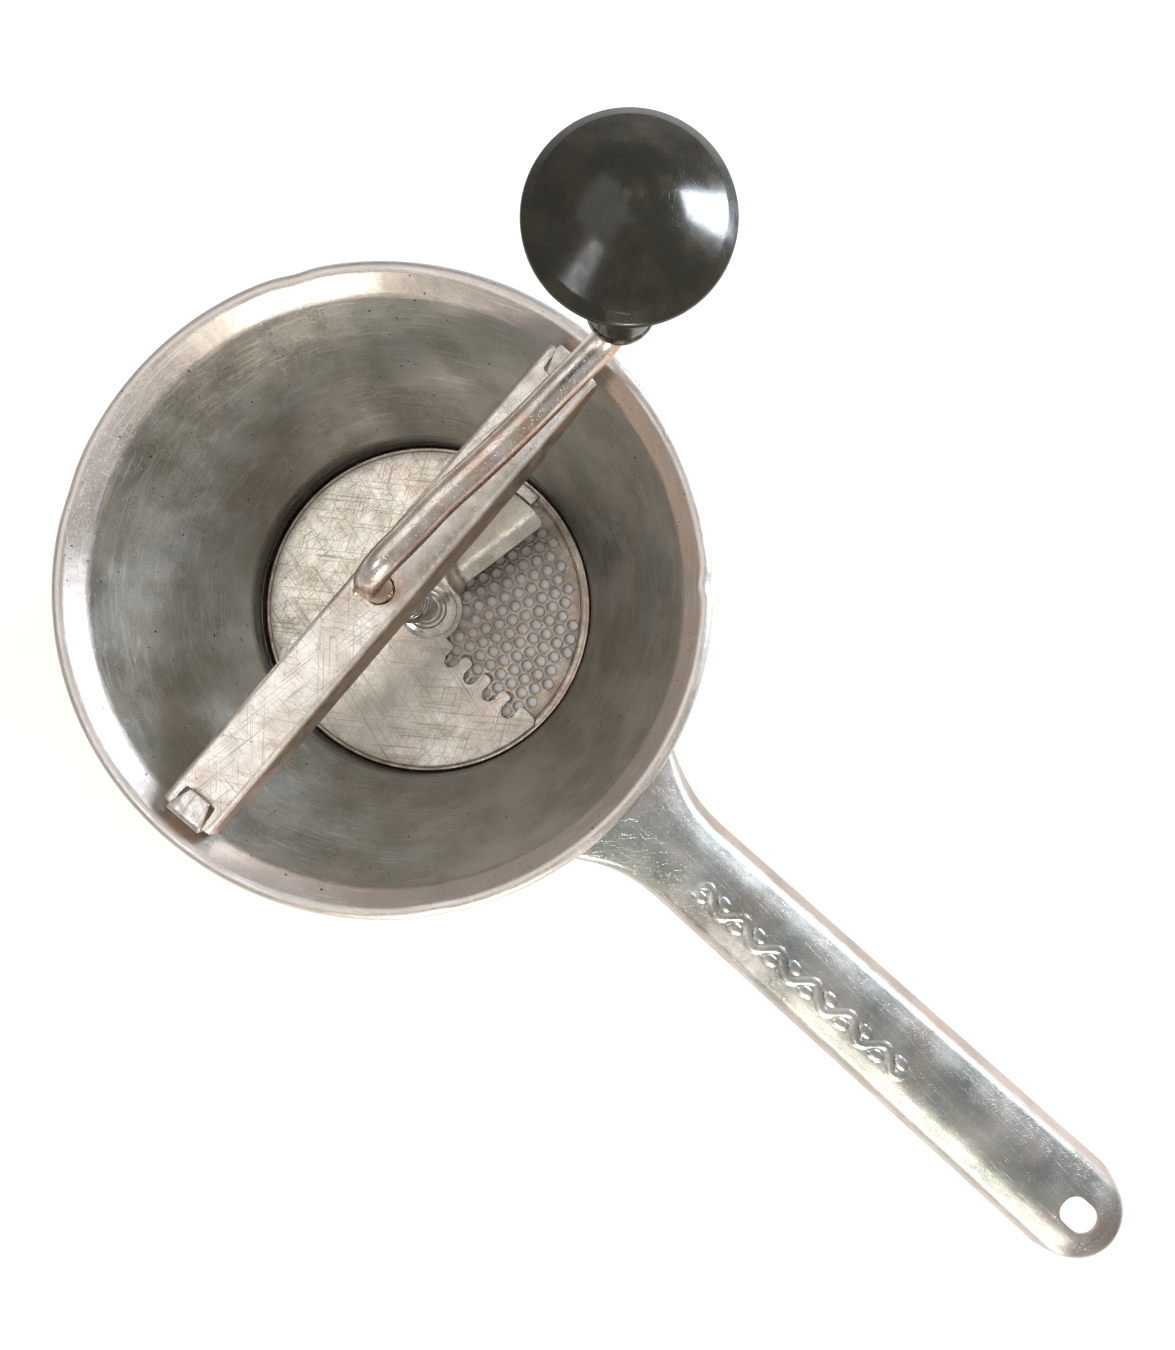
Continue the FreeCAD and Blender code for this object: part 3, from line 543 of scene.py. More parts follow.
def worn_metal(name, light, dark, blush_and_painted_reflection_tint, rough, scratched, patch=14.0, side=0.0, pits=0.0, seed=1.0):
    """Old bare metal: patchy colour, fine scratches in several directions, worn gloss and small pits.

    side is how far walls take the warm colour, a painted warm reflection that is strongest on upright walls
    and gone on flats; the same colour also goes into random blush patches.
    """
    graph = Graph(name)
    patches = graph.noise(graph.place, patch, detail=5.0, shift=seed * 31.0)
    color = graph.mix(graph.step(patches, 0.35, 0.65), light, dark)
    blush = graph.noise(graph.place, patch * 1.7, detail=3.0, shift=seed * 57.0)
    color = graph.mix(graph.step(blush, 0.52, 0.72, 0.0, 0.35), color, blush_and_painted_reflection_tint)
    directions = ((12.0, 22.0, 0.36), (-38.0, 15.0, 0.30), (63.0, 26.0, 0.40), (104.0, 12.0, 0.28))
    marks = None
    for row, (angle, length, width) in enumerate(directions):
        layer = graph.scratches(angle + seed * 17.0, length, width, scratched, row * 9.0 + seed)
        marks = layer if marks is None else graph.math("MAXIMUM", marks, layer)
    color = graph.mix(graph.math("MULTIPLY", marks, 0.42), color, (0.20, 0.17, 0.14))
    grain = graph.noise(graph.place, 0.45, detail=2.0, shift=seed)
    speckle = graph.noise(graph.place, 0.9, detail=0.0, shift=seed * 3.0)
    specks = graph.step(speckle, 0.80 - pits, 0.84 - pits)
    color = graph.mix(graph.math("MULTIPLY", specks, 0.45), color, (0.09, 0.07, 0.05))
    # painted reflection: upright walls take the warm colour, standing in for warm surroundings seen in them
    if side > 0.0:
        wall = graph.step(graph.up_share(), 0.25, 0.85, side, 0.0)
        color = graph.mix(wall, color, blush_and_painted_reflection_tint)
    wear = graph.noise(graph.place, patch * 0.6, detail=4.0, shift=seed * 11.0)
    roughness = graph.step(wear, 0.3, 0.7, rough * 0.8, rough * 1.25)
    roughness = graph.math("MULTIPLY_ADD", marks, 0.12, roughness)
    height = graph.math("MULTIPLY_ADD", marks, -0.5, graph.math("MULTIPLY", grain, 0.35))
    height = graph.math("MULTIPLY_ADD", specks, -1.0, height)
    normal = graph.bump(height, 0.035)
    return graph.shader(color, roughness, normal)


def bowl_metal():
    """Tinned sheet in warm grey patches, with a pinkish grey band round the rim and painted shade darkening
    the throat below the cone.
    """
    graph = Graph("tinned_bowl")
    streaks, distance = graph.rings(0.8, 5.0)
    height_mm = graph.split(graph.place)[2]
    patches = graph.noise(graph.place, 22.0, detail=5.0, shift=13.0)
    color = graph.mix(graph.step(patches, 0.35, 0.65), (0.52, 0.505, 0.465), (0.38, 0.365, 0.32))
    cool = graph.noise(graph.place, 34.0, detail=2.0, shift=71.0)
    color = graph.mix(graph.step(cool, 0.5, 0.7, 0.0, 0.6), color, (0.43, 0.47, 0.48))
    rim = graph.step(height_mm, 77.0, 82.0)
    color = graph.mix(graph.math("MULTIPLY", rim, 0.75), color, (0.47, 0.42, 0.40))
    # painted shade: inside the throat, below the cone, the sheet is darkened almost to black
    within = graph.step(distance, 63.8, 63.95, 1.0, 0.0)
    throat = graph.math("MULTIPLY", graph.step(height_mm, 14.0, 18.5, 0.85, 0.0), within)
    color = graph.mix(throat, color, (0.055, 0.045, 0.035))
    marks = graph.step(streaks, 0.57, 0.66, 0.0, 0.8)
    directions = ((20.0, 18.0, 0.40), (75.0, 22.0, 0.34), (-30.0, 16.0, 0.38))
    for row, (turn, length, width) in enumerate(directions):
        layer = graph.scratches(turn, length, width, 0.16, row * 7.0 + 3.0)
        marks = graph.math("MAXIMUM", marks, layer)
    color = graph.mix(graph.math("MULTIPLY", marks, 0.34), color, (0.74, 0.74, 0.72))
    specks = graph.step(graph.noise(graph.place, 1.1, detail=0.0, shift=4.0), 0.83, 0.86)
    color = graph.mix(specks, color, (0.05, 0.04, 0.03))
    grain = graph.noise(graph.place, 0.5, detail=2.0)
    wear = graph.noise(graph.place, 16.0, detail=4.0, shift=40.0)
    roughness = graph.step(wear, 0.3, 0.7, 0.36, 0.48)
    roughness = graph.math("MULTIPLY_ADD", marks, 0.08, roughness)
    height = graph.math("MULTIPLY_ADD", marks, -0.4, graph.math("MULTIPLY", grain, 0.4))
    height = graph.math("MULTIPLY_ADD", streaks, 0.35, height)
    normal = graph.bump(height, 0.035)
    wavy = graph.noise(graph.place, 9.0, detail=2.0, shift=88.0)
    normal = graph.bump(wavy, 0.25, under=normal)
    return graph.shader(color, roughness, normal)


def bakelite():
    """Glossy black moulding with an olive cast, polished by the hand and faintly scuffed."""
    graph = Graph("black_bakelite")
    patches = graph.noise(graph.place, 8.0, detail=4.0, shift=5.0)
    color = graph.mix(graph.step(patches, 0.4, 0.65), (0.010, 0.0095, 0.006), (0.020, 0.017, 0.010))
    haze = graph.noise(graph.place, 4.0, detail=5.0, shift=21.0)
    fine = graph.scratches(35.0, 6.0, 0.12, 0.1, 2.0)
    fine = graph.math("MAXIMUM", fine, graph.scratches(-50.0, 5.0, 0.10, 0.1, 8.0))
    roughness = graph.step(haze, 0.35, 0.7, 0.17, 0.27)
    roughness = graph.math("MULTIPLY_ADD", fine, 0.1, roughness)
    wavy = graph.noise(graph.place, 5.0, detail=1.0)
    normal = graph.bump(wavy, 0.03)
    normal = graph.bump(fine, -0.004, under=normal)
    return graph.shader(color, roughness, normal, metallic=0.0, specular=0.38)


def floor_paint():
    """Pale matt floor with a faint mottle."""
    graph = Graph("pale_floor")
    patches = graph.noise(graph.place, 120.0, detail=3.0)
    color = graph.mix(patches, (0.90, 0.895, 0.885), (0.93, 0.925, 0.915))
    normal = graph.bump(graph.noise(graph.place, 2.0), 0.01)
    return graph.shader(color, 0.9, normal, metallic=0.0, specular=0.1)


MATERIALS = {
    "tinned_steel": bowl_metal(),
    "handle_steel": worn_metal(
        "tinned_handle", (0.44, 0.43, 0.42), (0.26, 0.28, 0.27), (0.30, 0.18, 0.12), 0.32, 0.16,
        patch=20.0, side=0.55, seed=2.0,
    ),
    "disc_steel": worn_metal(
        "punched_disc", (0.50, 0.43, 0.37), (0.34, 0.28, 0.23), (0.46, 0.31, 0.25), 0.33, 0.14,
        patch=6.0, pits=0.03, seed=3.0,
    ),
    "bridge_steel": worn_metal(
        "bridge_plate", (0.64, 0.60, 0.56), (0.48, 0.44, 0.39), (0.40, 0.27, 0.19), 0.37, 0.2,
        patch=9.0, side=0.75, pits=0.01, seed=4.0,
    ),
    "lug_steel": worn_metal(
        "lug_plate", (0.52, 0.50, 0.48), (0.36, 0.33, 0.30), (0.46, 0.29, 0.19), 0.36, 0.14,
        patch=5.0, side=0.8, seed=5.0,
    ),
    "rod_steel": worn_metal(
        "crank_plate", (0.60, 0.56, 0.53), (0.42, 0.37, 0.33), (0.48, 0.25, 0.15), 0.25, 0.1,
        patch=8.0, side=0.6, pits=0.02, seed=6.0,
    ),
    "pin_brass": worn_metal(
        "pin_metal", (0.62, 0.52, 0.36), (0.42, 0.33, 0.22), (0.50, 0.38, 0.24), 0.3, 0.1,
        patch=2.0, seed=7.0,
    ),
    "hub_steel": worn_metal(
        "hub_metal", (0.74, 0.71, 0.67), (0.58, 0.53, 0.46), (0.62, 0.52, 0.38), 0.18, 0.06,
        patch=5.0, seed=8.0,
    ),
    "blade_steel": worn_metal(
        "blade_plate", (0.72, 0.68, 0.61), (0.55, 0.50, 0.43), (0.58, 0.47, 0.41), 0.36, 0.24,
        patch=13.0, seed=9.0,
    ),
    "spring_steel": worn_metal(
        "spring_wire", (0.52, 0.49, 0.46), (0.36, 0.33, 0.30), (0.40, 0.30, 0.22), 0.28, 0.1,
        patch=3.0, seed=10.0,
    ),
    "black_bakelite": bakelite(),
}
PALE_FLOOR = floor_paint()


# ---------------------------------------------------------------- bowl

BEAD_RADIUS = 2.6
SHEET = 0.9
FLARE_ANGLE = math.radians(49.6)
FLARE_LENGTH = 6.8
THROAT_HEIGHT = 15.9
THROAT_RADIUS = box_mm("straining_disc")[1].x + 0.4
CONE_SAG = 1.3
DENTS = ((43.0, 3.0, 0.7), (147.5, 5.0, 0.45), (205.0, 7.0, 0.3), (322.0, 6.0, 0.3))


def bowl_profile():
    """The sheet's section: inside from the seat lip up to the bead, then down the outside."""
    rim = box_mm("bowl")[1]
    bead_axis = rim.x - BEAD_RADIUS
    bead_height = rim.z - BEAD_RADIUS
    throat = THROAT_RADIUS
    seat = throat - 4.7
    across = math.cos(FLARE_ANGLE)
    rise = math.sin(FLARE_ANGLE)
    flare_top = (bead_axis - BEAD_RADIUS * rise, bead_height + BEAD_RADIUS * across)
    crease = (flare_top[0] - FLARE_LENGTH * across, flare_top[1] - FLARE_LENGTH * rise)
    cone = bowed((throat, THROAT_HEIGHT), crease, CONE_SAG, 40)
    corners = [
        (seat, SHEET),
        (throat, SHEET, 0.8),
        (throat, 5.2, 0.3),
        (throat + 0.25, 5.5, 0.3),
        (throat + 0.25, 9.6, 0.3),
        (throat, 9.9, 0.3),
        (throat, THROAT_HEIGHT, 2.2),
        cone[4],
    ]
    inner = rounded(corners) + cone[5:36]
    inner += rounded([cone[35], (*crease, 7.0), flare_top], steps=16)[1:-1]
    flare_degrees = math.degrees(FLARE_ANGLE) + 90.0
    bead = arc((bead_axis, bead_height), BEAD_RADIUS, flare_degrees, -150.0, 36)
    bead_inside = arc((bead_axis, bead_height), BEAD_RADIUS - SHEET, -150.0, flare_degrees, 24)
    outer_crease = (crease[0] + SHEET * 0.9, crease[1] - SHEET * 0.45)
    outer_throat = (throat + SHEET, THROAT_HEIGHT - SHEET * 0.25)
    outer_cone = bowed(outer_throat, outer_crease, CONE_SAG, 40)
    outer = rounded([bead_inside[-1], (*outer_crease, 6.0), outer_cone[35]], steps=10)[1:]
    outer += list(reversed(outer_cone[5:35]))
    outer += rounded([outer_cone[4], (*outer_throat, 2.0), (throat + SHEET, 0.0, 0.7), (seat, 0.0)])
    return inner + bead + bead_inside + outer


def bowl_dents(point):
    """Small knocks and a little out-of-round, as an old spun bowl has."""
    angle = math.atan2(point.y, point.x)
    distance = math.hypot(point.x, point.y)
    raised = smooth(point.z, 40.0, 84.0)
    outward = Vector((point.x, point.y, 0)).normalized()
    wobble = 0.22 * math.sin(2.0 * angle + 0.7) + 0.10 * math.sin(5.0 * angle)
    moved = point + outward * wobble * raised
    moved.z += raised * 0.18 * math.sin(3.0 * angle + 1.1)
    for turn, width, depth in DENTS:
        gap = (angle - math.radians(turn) + math.pi) % (2.0 * math.pi) - math.pi
        near = math.exp(-((gap * distance / width) ** 2)) * smooth(point.z, 80.0, 84.0)
        moved -= outward * depth * near
        moved.z -= depth * 0.6 * near
    return moved


def make_bowl():
    shape = lathe(bowl_profile(), 720)
    shape.flip()
    shape.bend(bowl_dents)
    add_piece("bowl_sheet", shape, "bowl", "tinned_steel", ["bowl"], sharp=50.0)


# ---------------------------------------------------------------- handle

HANDLE_ROOT = 82.0
NECK = 127.0
NECK_HALF_WIDTH = 14.6
NECK_CURVE = 60.0
TIP_CENTRE = 288.0
SKIRT_RUN = 2.3
CROWN = 2.4
ROOT_BLEND = 36.0
SLOT_LENGTH = 12.7
SLOT_WIDTH = 9.4
OPENINGS = {row["name"]: row["box_m"] for row in frame["record"]["physics"]["openings"]}
SLOT_ENDS = [corner[0] for corner in OPENINGS["hanging_slot"]]
SLOT_MIDDLE = (SLOT_ENDS[0] + SLOT_ENDS[1]) / 2.0 / MM


def handle_half_width(along):
    """Half the handle's width in plan, up to where the round tip starts."""
    tip_half = box_mm("handle")[1].x - TIP_CENTRE
    if along >= NECK:
        share = (along - NECK) / (TIP_CENTRE - NECK)
        return NECK_HALF_WIDTH + (tip_half - NECK_HALF_WIDTH) * share
    flare_start = NECK - NECK_CURVE * 0.5
    reach = min(NECK - along, NECK - flare_start)
    half = NECK_HALF_WIDTH + NECK_CURVE - math.sqrt(NECK_CURVE ** 2 - reach ** 2)
    return half + max(flare_start - along, 0.0) * 0.5


def handle_section(half, depth):
    """Depth below the crown for each distance in from the edge."""
    corners = [
        (0.0, -depth),
        (0.35, -depth + 1.4, 1.5),
        (SKIRT_RUN, -CROWN - 0.6, 3.2),
        (half * 0.6, -CROWN * 0.25, 20.0),
        (half, 0.0),
    ]
    return rounded(corners, steps=8)


def height_at(section, distance):
    """The section's height at a distance in from the edge."""
    for first, second in zip(section, section[1:]):
        if distance <= second[0]:
            share = (distance - first[0]) / max(second[0] - first[0], 1e-6)
            return first[1] + (second[1] - first[1]) * share
    return section[-1][1]


def ornament_height(along, across):
    """A raised wavy stem with a leaf in each bend."""
    start, end, middle = 131.0, 219.0, -3.4
    wave, swing = 14.6, 2.5
    if not start - 2.0 < along < end + 2.0 or abs(across - middle) > 6.5:
        return 0.0
    fade = smooth(along, start, start + 3.0) * (1.0 - smooth(along, end - 3.0, end))
    phase = 2.0 * math.pi * (along - start) / wave
    slope = swing * 2.0 * math.pi / wave * math.cos(phase)
    stem = abs(across - middle - swing * math.sin(phase)) / math.hypot(1.0, slope)
    raised = 1.0 - smooth(stem, 0.35, 1.15)
    turn = round((phase - math.pi / 2.0) / math.pi)
    leaf_along = start + wave * (0.25 + 0.5 * turn)
    side = -1.0 if turn % 2 == 0 else 1.0
    leaf_x = (along - leaf_along) * 0.92 + (across - middle) * 0.38 * side
    leaf_y = (across - middle - side * 1.7) * 0.92
    leaf = math.hypot(leaf_x / 2.5, leaf_y / 1.35)
    return 0.55 * fade * max(raised, 1.0 - smooth(leaf, 0.62, 1.0))


def handle_spacing(half):
    """Distances in from the edge at which the handle has rows of points."""
    rows = [0.0, 0.15, 0.35, 0.6, 1.0, 1.5, 2.0, 2.4, 2.8, 3.2, 3.6, 4.0, 4.5, 5.0]
    count = 24
    rows += [5.0 + (half - 5.0) * (row + 1) / count for row in range(count)]
    return rows


def handle_columns():
    """For each row across the handle: its middle, its half width and how far it turns round the tip."""
    columns = []
    along = HANDLE_ROOT
    while along < TIP_CENTRE:
        columns.append((along, handle_half_width(along), 0.0))
        along += 0.55
    tip_half = handle_half_width(TIP_CENTRE)
    count = 60
    for row in range(count + 1):
        columns.append((TIP_CENTRE, tip_half, math.pi / 2.0 * row / count))
    return columns


def slot_distance(x, y):
    """Distance from the hanging slot's edge, negative inside it."""
    straight = (SLOT_LENGTH - SLOT_WIDTH) / 2.0
    along = max(abs(x - SLOT_MIDDLE) - straight, 0.0)
    return math.hypot(along, y) - SLOT_WIDTH / 2.0


def make_handle():
    """Pressed channel: the outside skin with its slot, thickened inwards to a sheet."""
    top = box_mm("handle")[1].z
    depth = top - box_mm("handle")[0].z
    sheet = 1.1
    shape = Shape()
    grid = []
    for along, half, turn in handle_columns():
        section = handle_section(half, depth)
        row = []
        for side in (-1.0, 1.0):
            line = []
            for distance in handle_spacing(half):
                reach = half - distance
                x = along + reach * math.sin(turn)
                y = side * reach * math.cos(turn)
                z = top + height_at(section, distance)
                z += ornament_height(x, y)
                line.append((x, y, z))
            row.append(line)
        grid.append(row[0] + list(reversed(row[1]))[1:])
    rows = [shape.add_points(line) for line in grid]
    for first, second in zip(rows, rows[1:]):
        shape.join_rings(first, second, closed=False)
    shape.bend(fit_handle_to_bowl)
    cut_slot(shape)
    piece = add_piece("handle_sheet", shape, "bowl", "handle_steel", ["handle"], sharp=60.0)
    weld = piece.modifiers.new("merge", "WELD")
    weld.merge_threshold = 0.02 * MM
    thicken = piece.modifiers.new("sheet", "SOLIDIFY")
    thicken.thickness = sheet * MM
    thicken.offset = -1.0
    soften = piece.modifiers.new("edge", "BEVEL")
    soften.width = 0.3 * MM
    soften.segments = 2
    soften.limit_method = "ANGLE"
    soften.angle_limit = math.radians(60.0)


def outer_wall_radius(height):
    """The bowl's outside radius at a height on the cone."""
    rim = box_mm("bowl")[1]
    throat = THROAT_RADIUS + SHEET
    crease_radius = rim.x - 8.18
    crease_height = rim.z - 6.5
    share = (height - THROAT_HEIGHT) / (crease_height - THROAT_HEIGHT)
    return throat + (crease_radius - throat) * share + CONE_SAG * 4.0 * share * (1.0 - share) * 0.91


def fit_handle_to_bowl(point):
    """The root follows the cone; further out the handle stays as it is."""
    wall = outer_wall_radius(point.z) + 0.1
    root_x = math.sqrt(max(wall * wall - point.y * point.y, 1.0))
    share = smooth(point.x, HANDLE_ROOT, HANDLE_ROOT + ROOT_BLEND)
    x = root_x + (point.x - HANDLE_ROOT) * (HANDLE_ROOT + ROOT_BLEND - root_x) / ROOT_BLEND
    if point.x > HANDLE_ROOT + ROOT_BLEND:
        x = point.x
    return Vector((x, point.y, point.z + (1.0 - share) * 0.2))


def cut_slot(shape):
    """Moves the points nearest the slot's edge onto it and drops the faces inside it."""
    near = 0.42
    for point in shape.points:
        gap = slot_distance(point.x, point.y)
        if abs(gap) < near:
            step = 0.01
            slope = Vector((
                slot_distance(point.x + step, point.y) - slot_distance(point.x - step, point.y),
                slot_distance(point.x, point.y + step) - slot_distance(point.x, point.y - step),
            ))
            if slope.length > 1e-6:
                slope.normalize()
                point.x -= slope.x * gap
                point.y -= slope.y * gap
    kept = []
    for face in shape.faces:
        gaps = [slot_distance(shape.points[corner].x, shape.points[corner].y) for corner in face]
        if max(gaps) >= 0.02 and min(gaps) >= -0.02:
            kept.append(face)
    shape.faces = kept


# ---------------------------------------------------------------- straining disc

HOLE_RADIUS = 2.0
HOLE_PITCH = 5.4
BURR = 0.5
PUNCHED_RADIUS = 59.1
PLAIN_MIDDLE = 9.0
HOLES_END = 56.5
CELL = 6.0
RIM_SIDES = 240


def hole_centres():
    """Staggered rows of holes between the plain middle and the plain outer band."""
    row_step = HOLE_PITCH * math.sqrt(3.0) / 2.0
    centres = []
    for row in range(-13, 14):
        stagger = HOLE_PITCH / 2.0 if row % 2 else 0.0
        for column in range(-13, 14):
            x = column * HOLE_PITCH + stagger
            y = row * row_step
            if PLAIN_MIDDLE < math.hypot(x, y) < HOLES_END:
                centres.append((x, y))
    return centres


def make_disc():
    """Punched sheet: each hole has a rounded, raised lip, and the outer band a groove.

    The underside between the holes is left open.
    """
    low, high = box_mm("straining_disc")
    rim = high.x
    top = high.z
    foot = low.z
    shape = Shape()
    centres = hole_centres()
    sides = 28
    lip = [
        (HOLE_RADIUS + BURR, 0.0),
        (HOLE_RADIUS + BURR * 0.72, 0.05),
        (HOLE_RADIUS + BURR * 0.42, 0.15),
        (HOLE_RADIUS + BURR * 0.16, 0.13),
        (HOLE_RADIUS + 0.02, 0.0),
        (HOLE_RADIUS, -0.2),
        (HOLE_RADIUS, foot - top),
    ]
    outer_loops = [arc((0, 0), PUNCHED_RADIUS, 0.0, 360.0 - 360.0 / RIM_SIDES, RIM_SIDES - 1)]
    for x, y in centres:
        ring = arc((x, y), lip[0][0], 360.0, 360.0 / sides, sides - 1)
        outer_loops.append(ring)
    tops = [shape.add_points([(x, y, top) for x, y in loop]) for loop in outer_loops]
    for (x, y), first in zip(centres, tops[1:]):
        above = first
        for radius, rise in lip[1:]:
            ring = arc((x, y), radius, 360.0, 360.0 / sides, sides - 1)
            below = shape.add_points([(a, b, top + rise) for a, b in ring])
            shape.join_rings(below, above)
            above = below
    lattice = {}
    for x, y in centres:
        lattice.setdefault((round(x / CELL), round(y / CELL)), []).append((x, y))

    def solid(point):
        if point.length > PUNCHED_RADIUS:
            return False
        column = round(point.x / CELL)
        row = round(point.y / CELL)
        for dx in (-1, 0, 1):
            for dy in (-1, 0, 1):
                for x, y in lattice.get((column + dx, row + dy), []):
                    if math.hypot(point.x - x, point.y - y) < HOLE_RADIUS + BURR * 0.9:
                        return False
        return True

    triangles = fill(outer_loops, [], solid)
    table = [index for loop in tops for index in loop]
    for triangle in triangles:
        shape.faces.append([table[corner] for corner in triangle])
    groove = PUNCHED_RADIUS
    band = [(groove, 0.0), (groove + 0.2, -0.12), (groove + 0.4, -0.3), (groove + 0.7, -0.3)]
    band += [(groove + 0.9, -0.12), (groove + 1.1, 0.0), (61.2, 0.0), (61.5, 0.12), (61.8, 0.28)]
    band += [(rim - 0.5, 0.34), (rim - 0.1, 0.1), (rim, -0.2), (rim, foot - top + 0.2)]
    band += [(rim - 0.2, foot - top), (groove, foot - top)]
    above = tops[0]
    for radius, rise in band[1:]:
        ring = arc((0, 0), radius, 0.0, 360.0 - 360.0 / RIM_SIDES, RIM_SIDES - 1)
        below = shape.add_points([(x, y, top + rise) for x, y in ring])
        shape.join_rings(below, above)
        above = below
    add_piece(
        "straining_plate", shape, "bowl", "disc_steel", ["straining_disc"],
        sharp=35.0, weighted=True,
    )


# ---------------------------------------------------------------- bridge and lugs


class Fold:
    """Bends a flat sheet down over a straight line, keeping its thickness."""

    def __init__(self, start, radius, sheet, angle):
        self.start = start
        self.radius = radius
        self.middle = radius - sheet / 2.0
        self.angle = angle

    def place(self, run, depth):
        """Distance out and height below the top, for a point run out and depth into the sheet."""
        if run <= self.start:
            return run, -depth
        turn = min((run - self.start) / self.middle, self.angle)
        rest = run - self.start - turn * self.middle
        spoke = self.radius - depth
        out = self.start + spoke * math.sin(turn) + rest * math.cos(self.angle)
        down = -self.radius + spoke * math.cos(turn) - rest * math.sin(self.angle)
        return out, down


def bridge_outline(half_length, flat, reach_full, reach_end):
    """The bridge's blank before it is folded: forked ends, and flanges that narrow towards them."""
    notch = 5.3
    notch_root = half_length - 7.1
    straight = 52.0
    side = [(reach_full, -straight), (reach_full, straight)]
    for row in range(1, 13):
        share = row / 12.0
        side.append((
            reach_full + (reach_end - reach_full) * share * share * (1.6 - 0.6 * share),
            straight + (half_length - straight) * share,
        ))
    prong_end = [(*side[-1], 1.2), (flat, half_length + 0.2), (notch, half_length + 0.2, 0.7)]
    notch_half = [(notch + 0.3, notch_root + 3.0, 0.8), (notch, notch_root, 0.6)]
    right_top = side[1:-1] + prong_end + notch_half
    left_top = [(-c[0], *c[1:]) for c in reversed(right_top)]
    upper = right_top + left_top
    lower = [(-c[0], -c[1], *c[2:]) for c in upper]
    return rounded(upper + lower, closed=True, steps=4)


def bridge_bumps(x, y):
    """The plate isn't quite flat: small dents and a long slow wave."""
    place = Vector((x * 0.09, y * 0.06, 3.0))
    return 0.12 * noise.noise(place) + 0.035 * noise.noise(place * 4.5)


def make_bridge():
    low, high = box_mm("bridge")
    top = high.z
    half_length = high.y
    sheet = 1.3
    radius = 2.1
    half_width = 9.25
    flat = half_width - radius
    fold = Fold(flat, radius, sheet, math.radians(86.0))
    arc_run = fold.middle * fold.angle
    reach_full = flat + arc_run + (high.z - low.z) - radius
    reach_end = flat + arc_run + 6.5 - radius
    outline = resampled(bridge_outline(half_length, flat, reach_full, reach_end), 1.5)
    hole = arc((0.0, 0.0), 4.7, 360.0, 9.0, 39)
    rows = [flat + arc_run * step / 6.0 for step in range(7)]
    rows += [-row for row in rows]
    extra = []
    along = -half_length + 1.0
    while along < half_length - 1.0:
        for row in rows:
            if abs(along) < half_length - 1.2:
                extra.append((row, along))
        along += 1.3
    for point in scattered([outline, hole], 2.4, 1.0, lambda x, y: abs(x) < flat - 0.6):
        extra.append(point)
    for point in scattered([outline, hole], 2.4, 1.0, lambda x, y: abs(x) > flat + arc_run + 0.8):
        extra.append(point)

    def folded(point):
        depth = -point.z
        out, down = fold.place(abs(point.x), depth)
        x = math.copysign(out, point.x)
        x, y = turned((x, point.y), BRIDGE_TURN)
        return Vector((x, y, top + down + bridge_bumps(point.x, point.y)))

    shape = slab([outline, hole], -sheet, 0.0, 0.28, extra, folded)
    add_piece(
        "bridge_plate", shape, "bowl", "bridge_steel", ["bridge"],
        sharp=50.0, weighted=True,
    )


def make_lug(name, node, turn):
    """Bent strip: the foot lies in the cone, the tongue reaches over the bridge's forked end."""
    low, high = box_mm(node)
    top = high.z
    back = 90.6
    sheet = 1.3
    tip = 81.0
    bend = 2.4
    tongue = back - bend - tip
    fold = Fold(0.0, bend, sheet, math.radians(90.0))
    arc_run = fold.middle * fold.angle
    wall_run = top - bend - low.z
    end_run = arc_run + wall_run
    wide = 6.1
    narrow = 3.65
    corners = [
        (-tongue, -narrow, 0.8),
        (-0.6, -wide, 1.5),
        (end_run, -wide, 1.5),
        (end_run, wide, 1.5),
        (-0.6, wide, 1.5),
        (-tongue, narrow, 0.8),
    ]
    outline = resampled(rounded(corners, closed=True, steps=5), 0.8)
    extra = scattered([outline], 0.9, 0.5)
    foot_lean = 5.0
    lean_start = top - 81.6

    def folded(point):
        run = point.x
        depth = -point.z
        out, down = fold.place(run, depth)
        curl = smooth(point.y, wide - 2.2, wide) * (1.0 - smooth(run, -1.0, 1.5))
        down -= curl * 0.7
        down += 0.1 * smooth(-run, 2.0, tongue)
        radial = back - bend + out
        fall = max(-down - lean_start, 0.0)
        radial -= fall * foot_lean / (top - lean_start - low.z)
        x, y = turned((point.y, radial), BRIDGE_TURN + turn)
        return Vector((x, y, top + down))

    shape = slab([outline], -sheet, 0.0, 0.3, extra, folded)
    shape.flip()
    add_piece(name, shape, "bowl", "lug_steel", [node], sharp=50.0, weighted=True)


# ---------------------------------------------------------------- crank, pins, hub

ROD_RADIUS = 4.4
BEND_RADIUS = 11.0
ARM_HEIGHT = 111.9
SPINDLE_SHOULDER = 125.2
PIN_DIRECTIONS = {
    "stop_pin": CRANK_TURN + math.radians(131.0),
    "spring_pin": CRANK_TURN + math.radians(90.0),
}


def crank_path():
    """The bent rod's middle line: up the shaft, along the arm, up under the knob."""
    foot = box_mm("hub")[0].z
    arm = ARM_HEIGHT
    points = []
    corners = [(0.0, foot), (0.0, arm, BEND_RADIUS), (THROW, arm, BEND_RADIUS), (THROW, SPINDLE_SHOULDER)]
    flat = resampled(rounded(corners, steps=18), 1.6, closed=False)
    for along, height in flat:
        on_arm = smooth(height, arm - 12.0, arm - 2.0)
        sway = on_arm * math.sin(math.pi * min(along / THROW, 1.0))
        near_kink = 0.5 * math.exp(-(((along - 30.0) / 9.0) ** 2))
        far_kink = 0.35 * math.exp(-(((along - 62.0) / 16.0) ** 2))
        kink = near_kink - far_kink
        across = sway * kink
        x, y = turned((along, across), CRANK_TURN)
        points.append((x, y, height))
    return points


